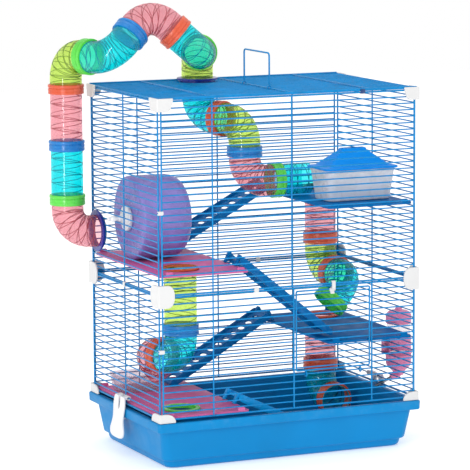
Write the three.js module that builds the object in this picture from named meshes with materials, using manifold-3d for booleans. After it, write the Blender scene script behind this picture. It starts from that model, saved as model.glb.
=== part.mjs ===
// Three-level wire hamster cage with a deep tray, platforms, ramps, a wheel, a nest box,
// a bottle and a run of clip-together tubes. Millimetres, +Z up. X runs along the long
// front, Y runs from the front to the back, and the origin is the middle of the tray's underside.
import * as THREE from "three";
import { mergeVertices } from "three/addons/utils/BufferGeometryUtils.js";
import Module from "manifold-3d";

const wasm = await Module();
wasm.setup();

// ---------------------------------------------------------------- driving dimensions
const HALF_X = 225; // outer face of the wire walls, left and right
const HALF_Y = 148; // outer face of the wire walls, front and back
const FRONT_HALF_X = 221.4; // half the width of the front and back walls, between the side walls
const WIRE = 2.2; // wire thickness
const POST = 2.8; // corner wires of a wall panel
const RAIL = 3; // top and bottom wires of a wall panel
const RAIL_DEPTH = 4.7; // how far those wires reach into the cage
const UPRIGHT_BACK = 0.3; // gap between a wall's rungs and its middle uprights
const Z_BASE = 81; // underside of the wire walls
const Z_MID = 278; // joint between the lower and the upper level
const Z_TOP = 585; // top of the upper walls
const LEVEL_GAP = 0.4;
const SIDE_GAP = 0.5; // between a front or back panel and a side panel
const GAPS_LOWER = 18;
const GAPS_UPPER = 29;
const GAPS_TOP = 27;
const UPRIGHTS_BACK = [-142, 1.8, 140]; // x of the uprights in the back wall
const UPRIGHTS_FRONT = [-135, 1.8]; // x of the uprights in the front wall
const WIRES_ROOF = [-135, 1.8, 140]; // x of the roof's cross wires
const SIDE_UPRIGHT = 7; // y of the upright in the side walls
const DOOR_LEFT = 5.8;
const DOOR_RIGHT = 144.2;
const DOOR_RUNGS = 12; // rungs that the doorway replaces
const DOOR_GAP = 1.4;

const TUBE_R = 26; // outer radius of the tubes
const TUBE_BORE = 23.4;
const RING_R = 29.3; // outer radius of the coupling rings
const RING_CORE = 24.8; // inner radius of a ring, inside the tube's wall
const RING_HALF = 8.5; // half the length of a coupling ring
const FLANGE_R = 34; // outer radius of the wall and roof flanges
const TUBE_SIDES = 12;
const ELBOW_R = 38; // bend radius of an elbow's centre line
const ELBOW_STEPS = 5;
const LEG = 55.5; // from an elbow's corner to the middle of the coupling ring
const JOIN = 0.3; // gap where two tube pieces meet

const PLATFORM_X = 150;
const PLATFORM_HALF_Y = 142.4;
const PLATFORM_T = 4;
const PLATFORM_WALL = 219.6; // where a platform stops, next to the side wall
const PLATFORM_HOLE_R = 27.6;
const Z_LOW_LEFT = 85.5; // upper faces of the four platforms
const Z_MID_RIGHT = 184;
const Z_UP_LEFT = 310.5;
const Z_UP_RIGHT = 402.5;
const COLUMN_X = 165; // the platform holes lie at (-165, -88) and (165, 88)
const COLUMN_Y = 88;

const RAMP_LENGTH = 210;
const RAMP_WIDTH = 56;
const RAMP_T = 3;
const RAMP_WALL = 2.4; // thickness of a ramp's side walls
const RAMP_RISE = 4.5; // how far the side walls stand above the floor of a ramp
const RAMP_SLOTS = 12;
const RAMP_LIFT = 13; // height of a ramp's top end above its platform

const WHEEL_R = 68;
const WHEEL_Y = 37;
const WHEEL_LEFT = -202;
const WHEEL_RIGHT = -114;

// ---------------------------------------------------------------- materials
function paint(color, roughness = 0.4, metalness = 0) {
  return new THREE.MeshStandardMaterial({ color, roughness, metalness });
}
const wirePaint = paint(0x1e82cd, 0.35, 0.2);
const trayBlue = paint(0x268bd9, 0.35);
const platformPink = paint(0xc86ea0, 0.4);
const platformBlue = paint(0x3c73aa, 0.4);
const rampBlue = paint(0x156cae, 0.4);
const tubeCyan = paint(0x00e1e6, 0.15);
const tubePink = paint(0xf0a0a5, 0.15);
const tubeGreen = paint(0xc8f064, 0.15);
const white = paint(0xf2f2f2, 0.45);
const wheelPurple = paint(0x8c78be, 0.4);
const nestGrey = paint(0xc3c3cd, 0.4);
const roofBlue = paint(0x1e9bf5, 0.35);
const bottlePink = paint(0xcd6e9b, 0.3);
const clear = paint(0xdfe6ea, 0.1);

// ---------------------------------------------------------------- solids
function solid(geometry) {
  const bare = geometry.clone();
  bare.deleteAttribute("normal");
  bare.deleteAttribute("uv");
  const merged = mergeVertices(bare, 1e-4);
  return new wasm.Manifold(new wasm.Mesh({
    numProp: 3,
    vertProperties: new Float32Array(merged.attributes.position.array),
    triVerts: new Uint32Array(merged.index.array),
  }));
}

function geometryOf(manifold) {
  const mesh = manifold.getMesh();
  const geometry = new THREE.BufferGeometry();
  geometry.setAttribute("position", new THREE.BufferAttribute(new Float32Array(mesh.vertProperties), 3));
  geometry.setIndex(new THREE.BufferAttribute(new Uint32Array(mesh.triVerts), 1));
  return geometry;
}

function join(solids) {
  return solids.reduce((whole, piece) => whole.add(piece));
}

function box(x0, x1, y0, y1, z0, z1) {
  const geometry = new THREE.BoxGeometry(x1 - x0, y1 - y0, z1 - z0);
  geometry.translate((x0 + x1) / 2, (y0 + y1) / 2, (z0 + z1) / 2);
  return geometry;
}

function boxSolid(...sides) {
  return solid(box(...sides));
}

// A turned solid about the line from `at` along `axis`; profile points are [radius, distance].
function turned(profile, at, axis, segments = 24) {
  const points = profile.map(([r, h]) => new THREE.Vector2(r, h));
  const geometry = new THREE.LatheGeometry(points, segments);
  const turn = new THREE.Quaternion().setFromUnitVectors(new THREE.Vector3(0, 1, 0), axis);
  geometry.applyQuaternion(turn);
  geometry.translate(at.x, at.y, at.z);
  return geometry;
}

function rod(at, axis, length, radius, segments = 12) {
  return turned([[0, 0], [radius, 0], [radius, length], [0, length]], at, axis, segments);
}

function hollowRing(at, axis, length, inner, outer, segments = TUBE_SIDES) {
  const profile = [[inner, 0], [outer, 0], [outer, length], [inner, length], [inner, 0]];
  return turned(profile, at, axis, segments);
}

function roundedOutline(x0, x1, y0, y1, radius, steps = 3) {
  const shape = new THREE.Shape();
  const corners = [[x1 - radius, y0 + radius, -90], [x1 - radius, y1 - radius, 0],
    [x0 + radius, y1 - radius, 90], [x0 + radius, y0 + radius, 180]];
  const points = [];
  for (const [cx, cy, start] of corners) {
    for (let i = 0; i <= steps; i += 1) {
      const angle = THREE.MathUtils.degToRad(start + (90 * i) / steps);
      points.push(new THREE.Vector2(cx + radius * Math.cos(angle), cy + radius * Math.sin(angle)));
    }
  }
  shape.setFromPoints(points);
  return shape;
}

// A solid through rounded rectangles stacked one after another. Each level is
// { x0, x1, y0, y1, r, z }; the first level closes the bottom and the last closes the loop.
function lofted(levels, steps = 3) {
  const rings = levels.map((l) => roundedOutline(l.x0, l.x1, l.y0, l.y1, l.r, steps).getPoints());
  const count = rings[0].length;
  const positions = [];
  rings.forEach((ring, k) => ring.forEach((p) => positions.push(p.x, p.y, levels[k].z)));
  const index = [];
  for (let k = 0; k + 1 < rings.length; k += 1) {
    for (let i = 0; i < count; i += 1) {
      const j = (i + 1) % count;
      const a = k * count + i;
      const b = k * count + j;
      const c = (k + 1) * count + j;
      const d = (k + 1) * count + i;
      index.push(a, b, c, a, c, d);
    }
  }
  const last = (rings.length - 1) * count;
  for (let i = 1; i + 1 < count; i += 1) {
    index.push(0, i + 1, i);
    index.push(last, last + i, last + i + 1);
  }
  const geometry = new THREE.BufferGeometry();
  geometry.setAttribute("position", new THREE.Float32BufferAttribute(positions, 3));
  geometry.setIndex(index);
  return geometry;
}

function inset(base, amount, z, r) {
  return { x0: base.x0 + amount, x1: base.x1 - amount, y0: base.y0 + amount, y1: base.y1 - amount, r, z };
}

const cage = new THREE.Group();

function put(name, geometry, material, parent = cage) {
  const mesh = new THREE.Mesh(geometry, material);
  mesh.name = name;
  parent.add(mesh);
  return mesh;
}

// ---------------------------------------------------------------- wire walls
// A panel lies in (u, v) with n pointing into the cage. Rungs run along u, the posts close
// both ends and the rails the top and the bottom. The uprights stand behind the rungs, or in
// front of them where `outside` is set.
function rungHeights(height, gaps) {
  const pitch = (height - RAIL) / gaps;
  return Array.from({ length: gaps - 1 }, (_, i) => RAIL / 2 + (i + 1) * pitch);
}

function wirePanel({ width, height, gaps, uprights, outside = false, keep = () => [[0, width]], posts = [] }) {
  const pieces = [
    boxSolid(0, POST, 0, WIRE, 0, height),
    boxSolid(width - POST, width, 0, WIRE, 0, height),
    boxSolid(0, width, 0, RAIL_DEPTH, 0, RAIL),
    boxSolid(0, width, 0, RAIL_DEPTH, height - RAIL, height),
  ];
  for (const v of rungHeights(height, gaps)) {
    for (const [from, to] of keep(v)) {
      pieces.push(boxSolid(from + 0.4, to - 0.4, 0.05, WIRE - 0.05, v - WIRE / 2, v + WIRE / 2));
    }
  }
  const near = outside ? -WIRE : WIRE + UPRIGHT_BACK;
  const far = outside ? UPRIGHT_BACK : RAIL_DEPTH - 0.1;
  for (const u of uprights) {
    pieces.push(boxSolid(u - POST / 2, u + POST / 2, near, far, 1, height - 1));
  }
  for (const u of posts) {
    pieces.push(boxSolid(u - POST / 2, u + POST / 2, 0, WIRE, 1, height - 1));
  }
  return join(pieces);
}

// Places a panel: `along` is the direction of u, `inward` of n, and v is up.
function standPanel(manifold, corner, along, inward) {
  const geometry = geometryOf(manifold);
  const flip = new THREE.Vector3().crossVectors(along, inward).z < 0;
  const matrix = new THREE.Matrix4().makeBasis(along, inward, new THREE.Vector3(0, 0, 1));
  matrix.setPosition(corner);
  geometry.applyMatrix4(matrix);
  if (flip) {
    const order = geometry.index.array;
    for (let i = 0; i < order.length; i += 3) {
      [order[i], order[i + 1]] = [order[i + 1], order[i]];
    }
  }
  return geometry;
}

const AXIS_X = new THREE.Vector3(1, 0, 0);
const AXIS_Y = new THREE.Vector3(0, 1, 0);
const AXIS_Z = new THREE.Vector3(0, 0, 1);
const lowerHeight = Z_MID - LEVEL_GAP / 2 - Z_BASE;
const upperHeight = Z_TOP - Z_MID - LEVEL_GAP / 2;
const upperBase = Z_MID + LEVEL_GAP / 2;
const sideStart = HALF_Y - RAIL_DEPTH - SIDE_GAP;

const lowerRungs = rungHeights(lowerHeight, GAPS_LOWER);
const doorHingeRung = lowerRungs[lowerRungs.length - 1 - DOOR_RUNGS];
const doorHingeZ = Z_BASE + doorHingeRung;

function doorway(v) {
  if (v <= doorHingeRung + 0.01) {
    return [[0, 2 * FRONT_HALF_X]];
  }
  return [[0, DOOR_LEFT + FRONT_HALF_X], [DOOR_RIGHT + FRONT_HALF_X, 2 * FRONT_HALF_X]];
}

const frontUprights = UPRIGHTS_FRONT.map((x) => x + FRONT_HALF_X);

put("panel_front_lower", standPanel(wirePanel({
  width: 2 * FRONT_HALF_X,
  height: lowerHeight,
  gaps: GAPS_LOWER,
  uprights: [frontUprights[0]],
  outside: true,
  keep: doorway,
  posts: [DOOR_LEFT + FRONT_HALF_X, DOOR_RIGHT + FRONT_HALF_X],
}), new THREE.Vector3(-FRONT_HALF_X, -HALF_Y, Z_BASE), AXIS_X, AXIS_Y), wirePaint);

put("panel_front_upper", standPanel(wirePanel({
  width: 2 * FRONT_HALF_X,
  height: upperHeight,
  gaps: GAPS_UPPER,
  uprights: frontUprights,
  outside: true,
}), new THREE.Vector3(-FRONT_HALF_X, -HALF_Y, upperBase), AXIS_X, AXIS_Y), wirePaint);

for (const [level, height, gaps, base] of [
  ["lower", lowerHeight, GAPS_LOWER, Z_BASE],
  ["upper", upperHeight, GAPS_UPPER, upperBase],
]) {
  const uprights = UPRIGHTS_BACK.map((x) => x + FRONT_HALF_X);
  put(`panel_back_${level}`, standPanel(
    wirePanel({ width: 2 * FRONT_HALF_X, height, gaps, uprights }),
    new THREE.Vector3(-FRONT_HALF_X, HALF_Y, base), AXIS_X, AXIS_Y.clone().negate(),
  ), wirePaint);
}

// The left wall's upper panel has a round hole for the outside tube.
const OUTLET_Y = 113;
const OUTLET_Z = 350.5;
const HOLE_R = 30;

function sidePanel(level, left, cut) {
  const height = level === "lower" ? lowerHeight : upperHeight;
  const gaps = level === "lower" ? GAPS_LOWER : GAPS_UPPER;
  const base = level === "lower" ? Z_BASE : upperBase;
  let panel = wirePanel({ width: 2 * sideStart, height, gaps, uprights: [sideStart + SIDE_UPRIGHT] });
  if (cut) {
    const at = new THREE.Vector3(OUTLET_Y + sideStart, -5, OUTLET_Z - base);
    panel = panel.subtract(solid(rod(at, AXIS_Y, 15, HOLE_R, 16)));
  }
  const x = left ? -HALF_X : HALF_X;
  const inward = left ? AXIS_X : AXIS_X.clone().negate();
  put(`panel_${left ? "left" : "right"}_${level}`,
    standPanel(panel, new THREE.Vector3(x, -sideStart, base), AXIS_Y, inward), wirePaint);
}

sidePanel("lower", true, false);
sidePanel("upper", true, true);
sidePanel("lower", false, false);
sidePanel("upper", false, false);

// The roof: rungs along X, with cross wires on top of them along Y.
const ROOF_Z = Z_TOP + 0.3;
const ROOF_HOLE = new THREE.Vector3(-47.1, 113, ROOF_Z);
const HANDLE_WIRE = 1; // which of the roof's cross wires carries the handle
{
  const uprights = WIRES_ROOF.map((x) => x + HALF_X);
  const flat = wirePanel({ width: 2 * HALF_X, height: 2 * HALF_Y, gaps: GAPS_TOP, uprights });
  const matrix = new THREE.Matrix4().makeBasis(AXIS_X, AXIS_Z, AXIS_Y);
  matrix.setPosition(-HALF_X, -HALF_Y, ROOF_Z);
  const geometry = geometryOf(flat);
  geometry.applyMatrix4(matrix);
  const order = geometry.index.array;
  for (let i = 0; i < order.length; i += 3) {
    [order[i], order[i + 1]] = [order[i + 1], order[i]];
  }
  const hole = rod(new THREE.Vector3(ROOF_HOLE.x, ROOF_HOLE.y, ROOF_Z - 5), AXIS_Z, 20, HOLE_R, 16);
  put("panel_roof", geometryOf(solid(geometry).subtract(solid(hole))), wirePaint);
}

// ---------------------------------------------------------------- front door and its clip
const doorLow = doorHingeZ + 4.4;
const DOOR_TOP_GAP = 2.7; // room above the door's top wire for the clip's eye
const doorHigh = Z_MID - LEVEL_GAP / 2 - RAIL - DOOR_TOP_GAP;
const doorX0 = DOOR_LEFT + POST / 2 + DOOR_GAP;
const doorX1 = DOOR_RIGHT - POST / 2 - DOOR_GAP;
const doorAxisY = -HALF_Y + WIRE / 2;
{
  const y0 = -HALF_Y;
  const y1 = -HALF_Y + WIRE;
  const pieces = [
    boxSolid(doorX0, doorX0 + POST, y0, y1, doorLow, doorHigh),
    boxSolid(doorX1 - POST, doorX1, y0, y1, doorLow, doorHigh),
    boxSolid(doorX0, doorX1, y0, y1, doorLow, doorLow + POST),
    boxSolid(doorX0, doorX1, y0, y1, doorHigh - POST, doorHigh),
  ];
  for (const v of lowerRungs) {
    const z = Z_BASE + v;
    if (z > doorLow + 5 && z < doorHigh - 5) {
      pieces.push(boxSolid(doorX0 + 0.5, doorX1 - 0.5, y0 + 0.05, y1 - 0.05, z - WIRE / 2, z + WIRE / 2));
    }
  }
  for (const x of [doorX0 + 18, doorX1 - 18]) {
    const eye = hollowRing(new THREE.Vector3(x - 1.4, doorAxisY, doorHingeZ), AXIS_X, 2.8, 2.3, 4.9, 10);
    pieces.push(solid(eye));
  }
  put("front_door", geometryOf(join(pieces)), wirePaint);
}
{
  // The clip turns on the door's top wire. Its arm stands in front of the double rail with a
  // lip over it, and its tail sticks out below as a thumb tab.
  const pivot = doorHigh - POST / 2;
  const x = 75;
  const arm = new THREE.Shape([
    [-3.6, -1], [-4, 2], [-4, 13.4], [0.6, 13.4], [0.6, 11.2], [-1.5, 11.2], [-1.5, 3.4], [-2.4, 1],
  ].map(([u, v]) => new THREE.Vector2(u, v)));
  const tail = new THREE.Shape([[-3.4, -1], [-6.4, -4.6], [-7.6, -6.4], [-8.5, -6.4], [-7.4, -3.6], [-3.9, 1.5], [-2.4, 1.5]]
    .map(([u, v]) => new THREE.Vector2(u, v)));
  const cut = (shape, x0, width) => {
    const geometry = new THREE.ExtrudeGeometry(shape, { depth: width, bevelEnabled: false });
    geometry.applyMatrix4(new THREE.Matrix4().makeBasis(AXIS_Y, AXIS_Z, AXIS_X));
    geometry.translate(x0, doorAxisY, pivot);
    return solid(geometry);
  };
  const eye = hollowRing(new THREE.Vector3(x - 3, doorAxisY, pivot), AXIS_X, 6, 2, 3.6, 12);
  const pieces = [solid(eye), cut(arm, x - 3, 6), cut(tail, x - 8, 7)];
  const bore = rod(new THREE.Vector3(x - 10, doorAxisY, pivot), AXIS_X, 20, 2, 12);
  put("door_clip", geometryOf(join(pieces).subtract(solid(bore))), white);
}

// ---------------------------------------------------------------- corner pieces
// Two flaps around a corner of the cage; `outline` gives the flap's shape for a given reach.
function cornerPiece(name, sx, sy, outline, reachX, reachY) {
  const thickness = 3;
  const clearance = 0.3;
  const faceY = HALF_Y + clearance;
  const faceX = HALF_X + clearance;
  const frontShape = new THREE.Shape(outline(reachX + thickness).map(([u, v]) => new THREE.Vector2(u, v)));
  const sideShape = new THREE.Shape(outline(reachY + thickness).map(([u, v]) => new THREE.Vector2(u, v)));
  const options = { depth: thickness, bevelEnabled: false };
  const front = new THREE.ExtrudeGeometry(frontShape, options);
  const side = new THREE.ExtrudeGeometry(sideShape, options);
  front.applyMatrix4(new THREE.Matrix4().makeBasis(AXIS_X.clone().negate(), AXIS_Z, AXIS_Y));
  front.translate(faceX + thickness, faceY, 0);
  side.applyMatrix4(new THREE.Matrix4().makeBasis(AXIS_Y.clone().negate(), AXIS_Z, AXIS_X.clone().negate()));
  side.translate(faceX + thickness, faceY + thickness, 0);
  let piece = solid(front).add(solid(side));
  if (sx < 0) {
    piece = piece.mirror([1, 0, 0]);
  }
  if (sy < 0) {
    piece = piece.mirror([0, 1, 0]);
  }
  put(name, geometryOf(piece), white);
}

const CAP_TOP = Z_TOP + 3.5;
const CAP_LOW = Z_TOP - 17;
function capOutline(reach) {
  return [[0, CAP_LOW], [reach - 9, CAP_LOW], [reach - 3, CAP_LOW + 6], [reach, CAP_TOP], [0, CAP_TOP]];
}
function middleOutline(reach) {
  const half = 18;
  return [[0, Z_MID - half], [reach - 9, Z_MID - half], [reach - 3, Z_MID - half + 5], [reach, Z_MID - 7],
    [reach, Z_MID + 7], [reach - 3, Z_MID + half - 5], [reach - 9, Z_MID + half], [0, Z_MID + half]];
}
function footOutline(reach) {
  const low = 77.6;
  return [[0, low], [reach, low], [reach - 2, low + 7], [reach - 7, low + 12], [reach - 12, low + 14], [0, low + 14]];
}

const CORNERS = [["front_left", -1, -1], ["front_right", 1, -1], ["back_left", -1, 1], ["back_right", 1, 1]];
for (const [place, sx, sy] of CORNERS) {
  cornerPiece(`cap_${place}`, sx, sy, capOutline, 25, 32);
  cornerPiece(`joint_${place}`, sx, sy, middleOutline, 25, 32);
  cornerPiece(`foot_${place}`, sx, sy, footOutline, 25, 32);
}

// ---------------------------------------------------------------- tray
const RIM_X = 231;
const RIM_Y = 154;
const trayBox = { x0: -RIM_X, x1: RIM_X, y0: -RIM_Y, y1: RIM_Y };
const trayShell = lofted([
  inset(trayBox, 26.5, 0, 14),
  inset(trayBox, 23.5, 2.5, 15),
  inset(trayBox, 22, 10.5, 16),
  inset(trayBox, 16.5, 13.5, 16),
  inset(trayBox, 9.5, 62, 13),
  inset(trayBox, 0.5, 62, 6),
  inset(trayBox, 0, 76.8, 6),
  inset(trayBox, 11, 76.8, 9),
  inset(trayBox, 12.2, 62, 12),
  inset(trayBox, 18.8, 18, 14),
  inset(trayBox, 25.2, 12, 14),
  inset(trayBox, 29, 3, 12),
], 3);
put("tray", trayShell, trayBlue);

// A latch: a lever that hangs from the wall's lowest rung by two eyes, one on either side of
// the wall's upright. It leans out over the tray's rim and its tongue catches under the rim.
// Its lower end is a round thumb lobe.
const LATCH_Y = SIDE_UPRIGHT;
const LATCH_TOP_X = 230; // inner face of the lever at the height LATCH_TOP_Z
const LATCH_TOP_Z = 98;
const LATCH_LEAN = 0.1056; // how far the lever leans out per unit of height
const LATCH_T = 3;
const LATCH_EYE = 14.8; // width of an eye
const LATCH_EDGE = [
  [0, 73.5], [2.4, 74.8], [3.7, 78], [3.7, 95.5], [18.5, 95.5], [20.5, 92], [22.5, 84], [22.5, 76], [20.6, 66],
  [20.2, 58], [23, 50], [27, 42], [28, 37], [26, 31.6], [21, 28.6], [12, 27.3], [0, 27],
];
const RUNG_X = HALF_X - WIRE / 2;
const RUNG_Z = Z_BASE + lowerRungs[0];
function trayLatch(name, side) {
  const right = LATCH_EDGE.map(([u, v]) => new THREE.Vector2(u, v));
  const left = LATCH_EDGE.slice(1, -1).reverse().map(([u, v]) => new THREE.Vector2(-u, v));
  const lever = new THREE.ExtrudeGeometry(new THREE.Shape([...right, ...left]), {
    depth: LATCH_T, bevelEnabled: false,
  });
  const along = new THREE.Vector3(-side * LATCH_LEAN, 0, 1).normalize();
  const across = new THREE.Vector3(0, side, 0);
  const out = new THREE.Vector3().crossVectors(across, along);
  const foot = new THREE.Vector3(side * LATCH_TOP_X, LATCH_Y, LATCH_TOP_Z).addScaledVector(along, -LATCH_TOP_Z);
  lever.applyMatrix4(new THREE.Matrix4().makeBasis(across, along, out).setPosition(foot));
  const block = (x0, x1, ...rest) => {
    const xs = [side * x0, side * x1].sort((a, b) => a - b);
    return boxSolid(xs[0], xs[1], ...rest);
  };
  const pieces = [solid(lever), block(227, 235.4, LATCH_Y - 10, LATCH_Y + 10, 58, 60.8)];
  for (const hand of [-1, 1]) {
    const y0 = LATCH_Y + hand * 11.1 - LATCH_EYE / 2;
    const eye = hollowRing(new THREE.Vector3(side * RUNG_X, y0, RUNG_Z), AXIS_Y, LATCH_EYE, 1.95, 3.6, 14);
    pieces.push(solid(eye));
    pieces.push(block(RUNG_X + 2.2, RUNG_X + 7.4, y0, y0 + LATCH_EYE, RUNG_Z - 1.8, RUNG_Z + 2.2));
  }
  put(name, geometryOf(join(pieces)), white);
}
trayLatch("latch_left", -1);
trayLatch("latch_right", 1);

// ---------------------------------------------------------------- carry handle
const HANDLE_X = WIRES_ROOF[HANDLE_WIRE];
const HANDLE_Z = ROOF_Z + WIRE + UPRIGHT_BACK + (RAIL_DEPTH - 0.1 - WIRE - UPRIGHT_BACK) / 2;
{
  const topPitch = (2 * HALF_Y - RAIL) / GAPS_TOP;
  const eyeY = (gap) => -HALF_Y + RAIL / 2 + (gap + 0.5) * topPitch;
  const feet = [eyeY(7), eyeY(16)];
  const wire = 1.4;
  const height = 56;
  const path = new THREE.CurvePath();
  const knots = [
    [feet[0], 3.6], [feet[0], height - 6], [feet[0] + 6, height], [feet[1] - 6, height],
    [feet[1], height - 6], [feet[1], 3.6],
  ].map(([y, z]) => new THREE.Vector3(HANDLE_X, y, HANDLE_Z + z));
  path.add(new THREE.LineCurve3(knots[0], knots[1]));
  path.add(new THREE.QuadraticBezierCurve3(knots[1], new THREE.Vector3(HANDLE_X, feet[0], HANDLE_Z + height), knots[2]));
  path.add(new THREE.LineCurve3(knots[2], knots[3]));
  path.add(new THREE.QuadraticBezierCurve3(knots[3], new THREE.Vector3(HANDLE_X, feet[1], HANDLE_Z + height), knots[4]));
  path.add(new THREE.LineCurve3(knots[4], knots[5]));
  const section = new THREE.Shape();
  section.absarc(0, 0, wire, 0, Math.PI * 2);
  const bail = new THREE.ExtrudeGeometry(section, {
    steps: 26, curveSegments: 3, extrudePath: path, bevelEnabled: false,
  });
  const pieces = [solid(bail)];
  for (const y of feet) {
    pieces.push(solid(hollowRing(new THREE.Vector3(HANDLE_X, y - 1.3, HANDLE_Z), AXIS_Y, 2.6, 2.2, 4.7, 10)));
  }
  put("carry_handle", geometryOf(join(pieces)), wirePaint);
}

// ---------------------------------------------------------------- platforms
// Each platform is one moulding: a plate with a round hole near one corner and two tabs.
function platform(name, side, top, material, extra = []) {
  const x0 = side < 0 ? -PLATFORM_WALL : PLATFORM_WALL - PLATFORM_X;
  const x1 = x0 + PLATFORM_X;
  const shape = roundedOutline(x0, x1, -PLATFORM_HALF_Y, PLATFORM_HALF_Y, 6, 2);
  const rim = new THREE.Path();
  rim.absarc(side * COLUMN_X, side * COLUMN_Y, PLATFORM_HOLE_R, 0, Math.PI * 2);
  shape.holes.push(rim);
  const plate = new THREE.ExtrudeGeometry(shape, { depth: PLATFORM_T, curveSegments: 10, bevelEnabled: false });
  plate.translate(0, 0, top - PLATFORM_T);
  const pieces = [solid(plate), ...extra];
  for (const end of [-1, 1]) {
    for (const x of [x0 + 14, x1 - 14]) {
      const y = end * (PLATFORM_HALF_Y - 1.6);
      pieces.push(boxSolid(x - 6, x + 6, y - 1.5, y + 1.5, top - 1, top + 5));
    }
  }
  put(name, geometryOf(join(pieces)), material);
}
platform("platform_upper_left", -1, Z_UP_LEFT, platformPink);
platform("platform_upper_right", 1, Z_UP_RIGHT, platformBlue);
platform("platform_middle_right", 1, Z_MID_RIGHT, platformBlue);

// The lower left platform's hole has no tube in it, only a collar.
const collarProfile = [[23.5, -4], [PLATFORM_HOLE_R + 0.5, -4], [28.1, -1], [30.6, -1], [30.6, 3], [23.5, 3], [23.5, -4]];
const collar = turned(collarProfile, new THREE.Vector3(-COLUMN_X, -COLUMN_Y, Z_LOW_LEFT), AXIS_Z, 20);
platform("platform_lower_left", -1, Z_LOW_LEFT, platformPink, [solid(collar)]);

// ---------------------------------------------------------------- ramps
// Ramps hang from a platform edge by two hooks and rest on the level below. A ramp is a
// slotted floor between two side walls.
function ramp(name, hookX, platformTop, footZ, direction, y) {
  const hookZ = platformTop + RAMP_LIFT;
  const angle = Math.asin((hookZ - footZ) / RAMP_LENGTH);
  const half = RAMP_WIDTH / 2;
  const outline = roundedOutline(0, RAMP_LENGTH, -half + 0.5, half - 0.5, 3, 1);
  for (let i = 0; i < RAMP_SLOTS; i += 1) {
    const slot = new THREE.Path();
    slot.absellipse(17 + i * 16, 0, 4.2, 12, 0, Math.PI * 2);
    outline.holes.push(slot);
  }
  const floor = new THREE.ExtrudeGeometry(outline, { depth: RAMP_T, curveSegments: 3, bevelEnabled: false });
  floor.translate(0, 0, -RAMP_T);
  const pieces = [solid(floor)];
  const low = -RAMP_T - RAMP_RISE;
  const wallShape = new THREE.Shape([
    [0, -RAMP_T], [6, low], [RAMP_LENGTH - 10, low], [RAMP_LENGTH, -RAMP_T], [RAMP_LENGTH, 0],
    [RAMP_LENGTH - 5, RAMP_RISE], [5, RAMP_RISE], [0, 1],
  ].map(([u, w]) => new THREE.Vector2(u, w)));
  for (const v of [-half, half - RAMP_WALL]) {
    const wall = new THREE.ExtrudeGeometry(wallShape, { depth: RAMP_WALL, bevelEnabled: false });
    wall.applyMatrix4(new THREE.Matrix4().makeBasis(AXIS_X, AXIS_Z, AXIS_Y.clone().negate()));
    wall.translate(0, v + RAMP_WALL, 0);
    pieces.push(solid(wall));
  }
  const sloped = geometryOf(join(pieces));
  const down = new THREE.Vector3(direction * Math.cos(angle), 0, -Math.sin(angle));
  const across = new THREE.Vector3(0, direction, 0);
  const up = new THREE.Vector3().crossVectors(down, across);
  const matrix = new THREE.Matrix4().makeBasis(down, across, up);
  matrix.setPosition(hookX, y, hookZ);
  sloped.applyMatrix4(matrix);
  // Hook points are [towards the platform, above its top].
  const hookShape = new THREE.Shape([
    [-6, 8.6], [-4, 15], [-1.5, 18], [0.8, 18], [8.2, 2.2], [8.4, 0.5], [5, 0.5], [4.6, 1.6], [-0.6, 11], [-2, 8.4],
  ].map(([a, b]) => new THREE.Vector2(a, b)));
  const whole = [solid(sloped)];
  for (const v of [-20, 20]) {
    const hook = new THREE.ExtrudeGeometry(hookShape, { depth: 8, bevelEnabled: false });
    const toPlatform = new THREE.Vector3(-direction, 0, 0);
    const depthWay = new THREE.Vector3().crossVectors(toPlatform, AXIS_Z);
    hook.applyMatrix4(new THREE.Matrix4().makeBasis(toPlatform, AXIS_Z, depthWay));
    hook.translate(hookX, y + v - 4 * depthWay.y, platformTop);
    whole.push(solid(hook));
  }
  put(name, geometryOf(join(whole)), rampBlue);
}
const EDGE = PLATFORM_WALL - PLATFORM_X; // inner edge of a platform
ramp("ramp_top", EDGE - 3, Z_UP_RIGHT, Z_UP_LEFT + 6, -1, 103);
ramp("ramp_front", -EDGE + 3, Z_UP_LEFT, Z_MID_RIGHT + 6, 1, -76.5);
ramp("ramp_back", EDGE - 3, Z_MID_RIGHT, Z_LOW_LEFT + 6, -1, 103);
ramp("ramp_floor", -EDGE + 3, Z_LOW_LEFT, 7.5, 1, -68);

// ---------------------------------------------------------------- wheel
const upperPitch = (upperHeight - RAIL) / GAPS_UPPER;
const WHEEL_Z = upperBase + RAIL / 2 + 9.5 * upperPitch; // the axle passes between two rungs
{
  const t = 2.6;
  const w = WHEEL_RIGHT - WHEEL_LEFT;
  const at = new THREE.Vector3(WHEEL_LEFT, WHEEL_Y, WHEEL_Z);
  const drum = turned([
    [5, 0], [64, 0], [WHEEL_R - 1, 1.6], [WHEEL_R, 5], [WHEEL_R, w - 24], [WHEEL_R - 3.5, w - 10],
    [WHEEL_R - 9, w - 3], [WHEEL_R - 14, w], [42, w], [42, w - t], [WHEEL_R - 15, w - t],
    [WHEEL_R - 11, w - 5], [WHEEL_R - 6.1, w - 11], [WHEEL_R - t, w - 24.5], [WHEEL_R - t, 7],
    [62, t], [5, t], [5, 0],
  ], at, AXIS_X, 22);
  put("wheel_drum", drum, wheelPurple);
  // The axle is screwed through the wall: a nut outside, a disc inside and a cap in the drum.
  const axle = turned([
    [0, 0], [3, 0], [3, 5], [5, 7], [5, 12.2], [3.9, 12.4], [3.9, 18.4], [5, 18.6], [5, 28.7], [19, 28.7], [20.5, 30.5], [20.5, 35.5],
    [3.9, 35.5], [3.9, 39.2], [8.5, 39.2], [8.5, 43], [0, 44],
  ], new THREE.Vector3(-HALF_X - 13, WHEEL_Y, WHEEL_Z), AXIS_X, 14);
  put("wheel_axle", axle, white);
}

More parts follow.
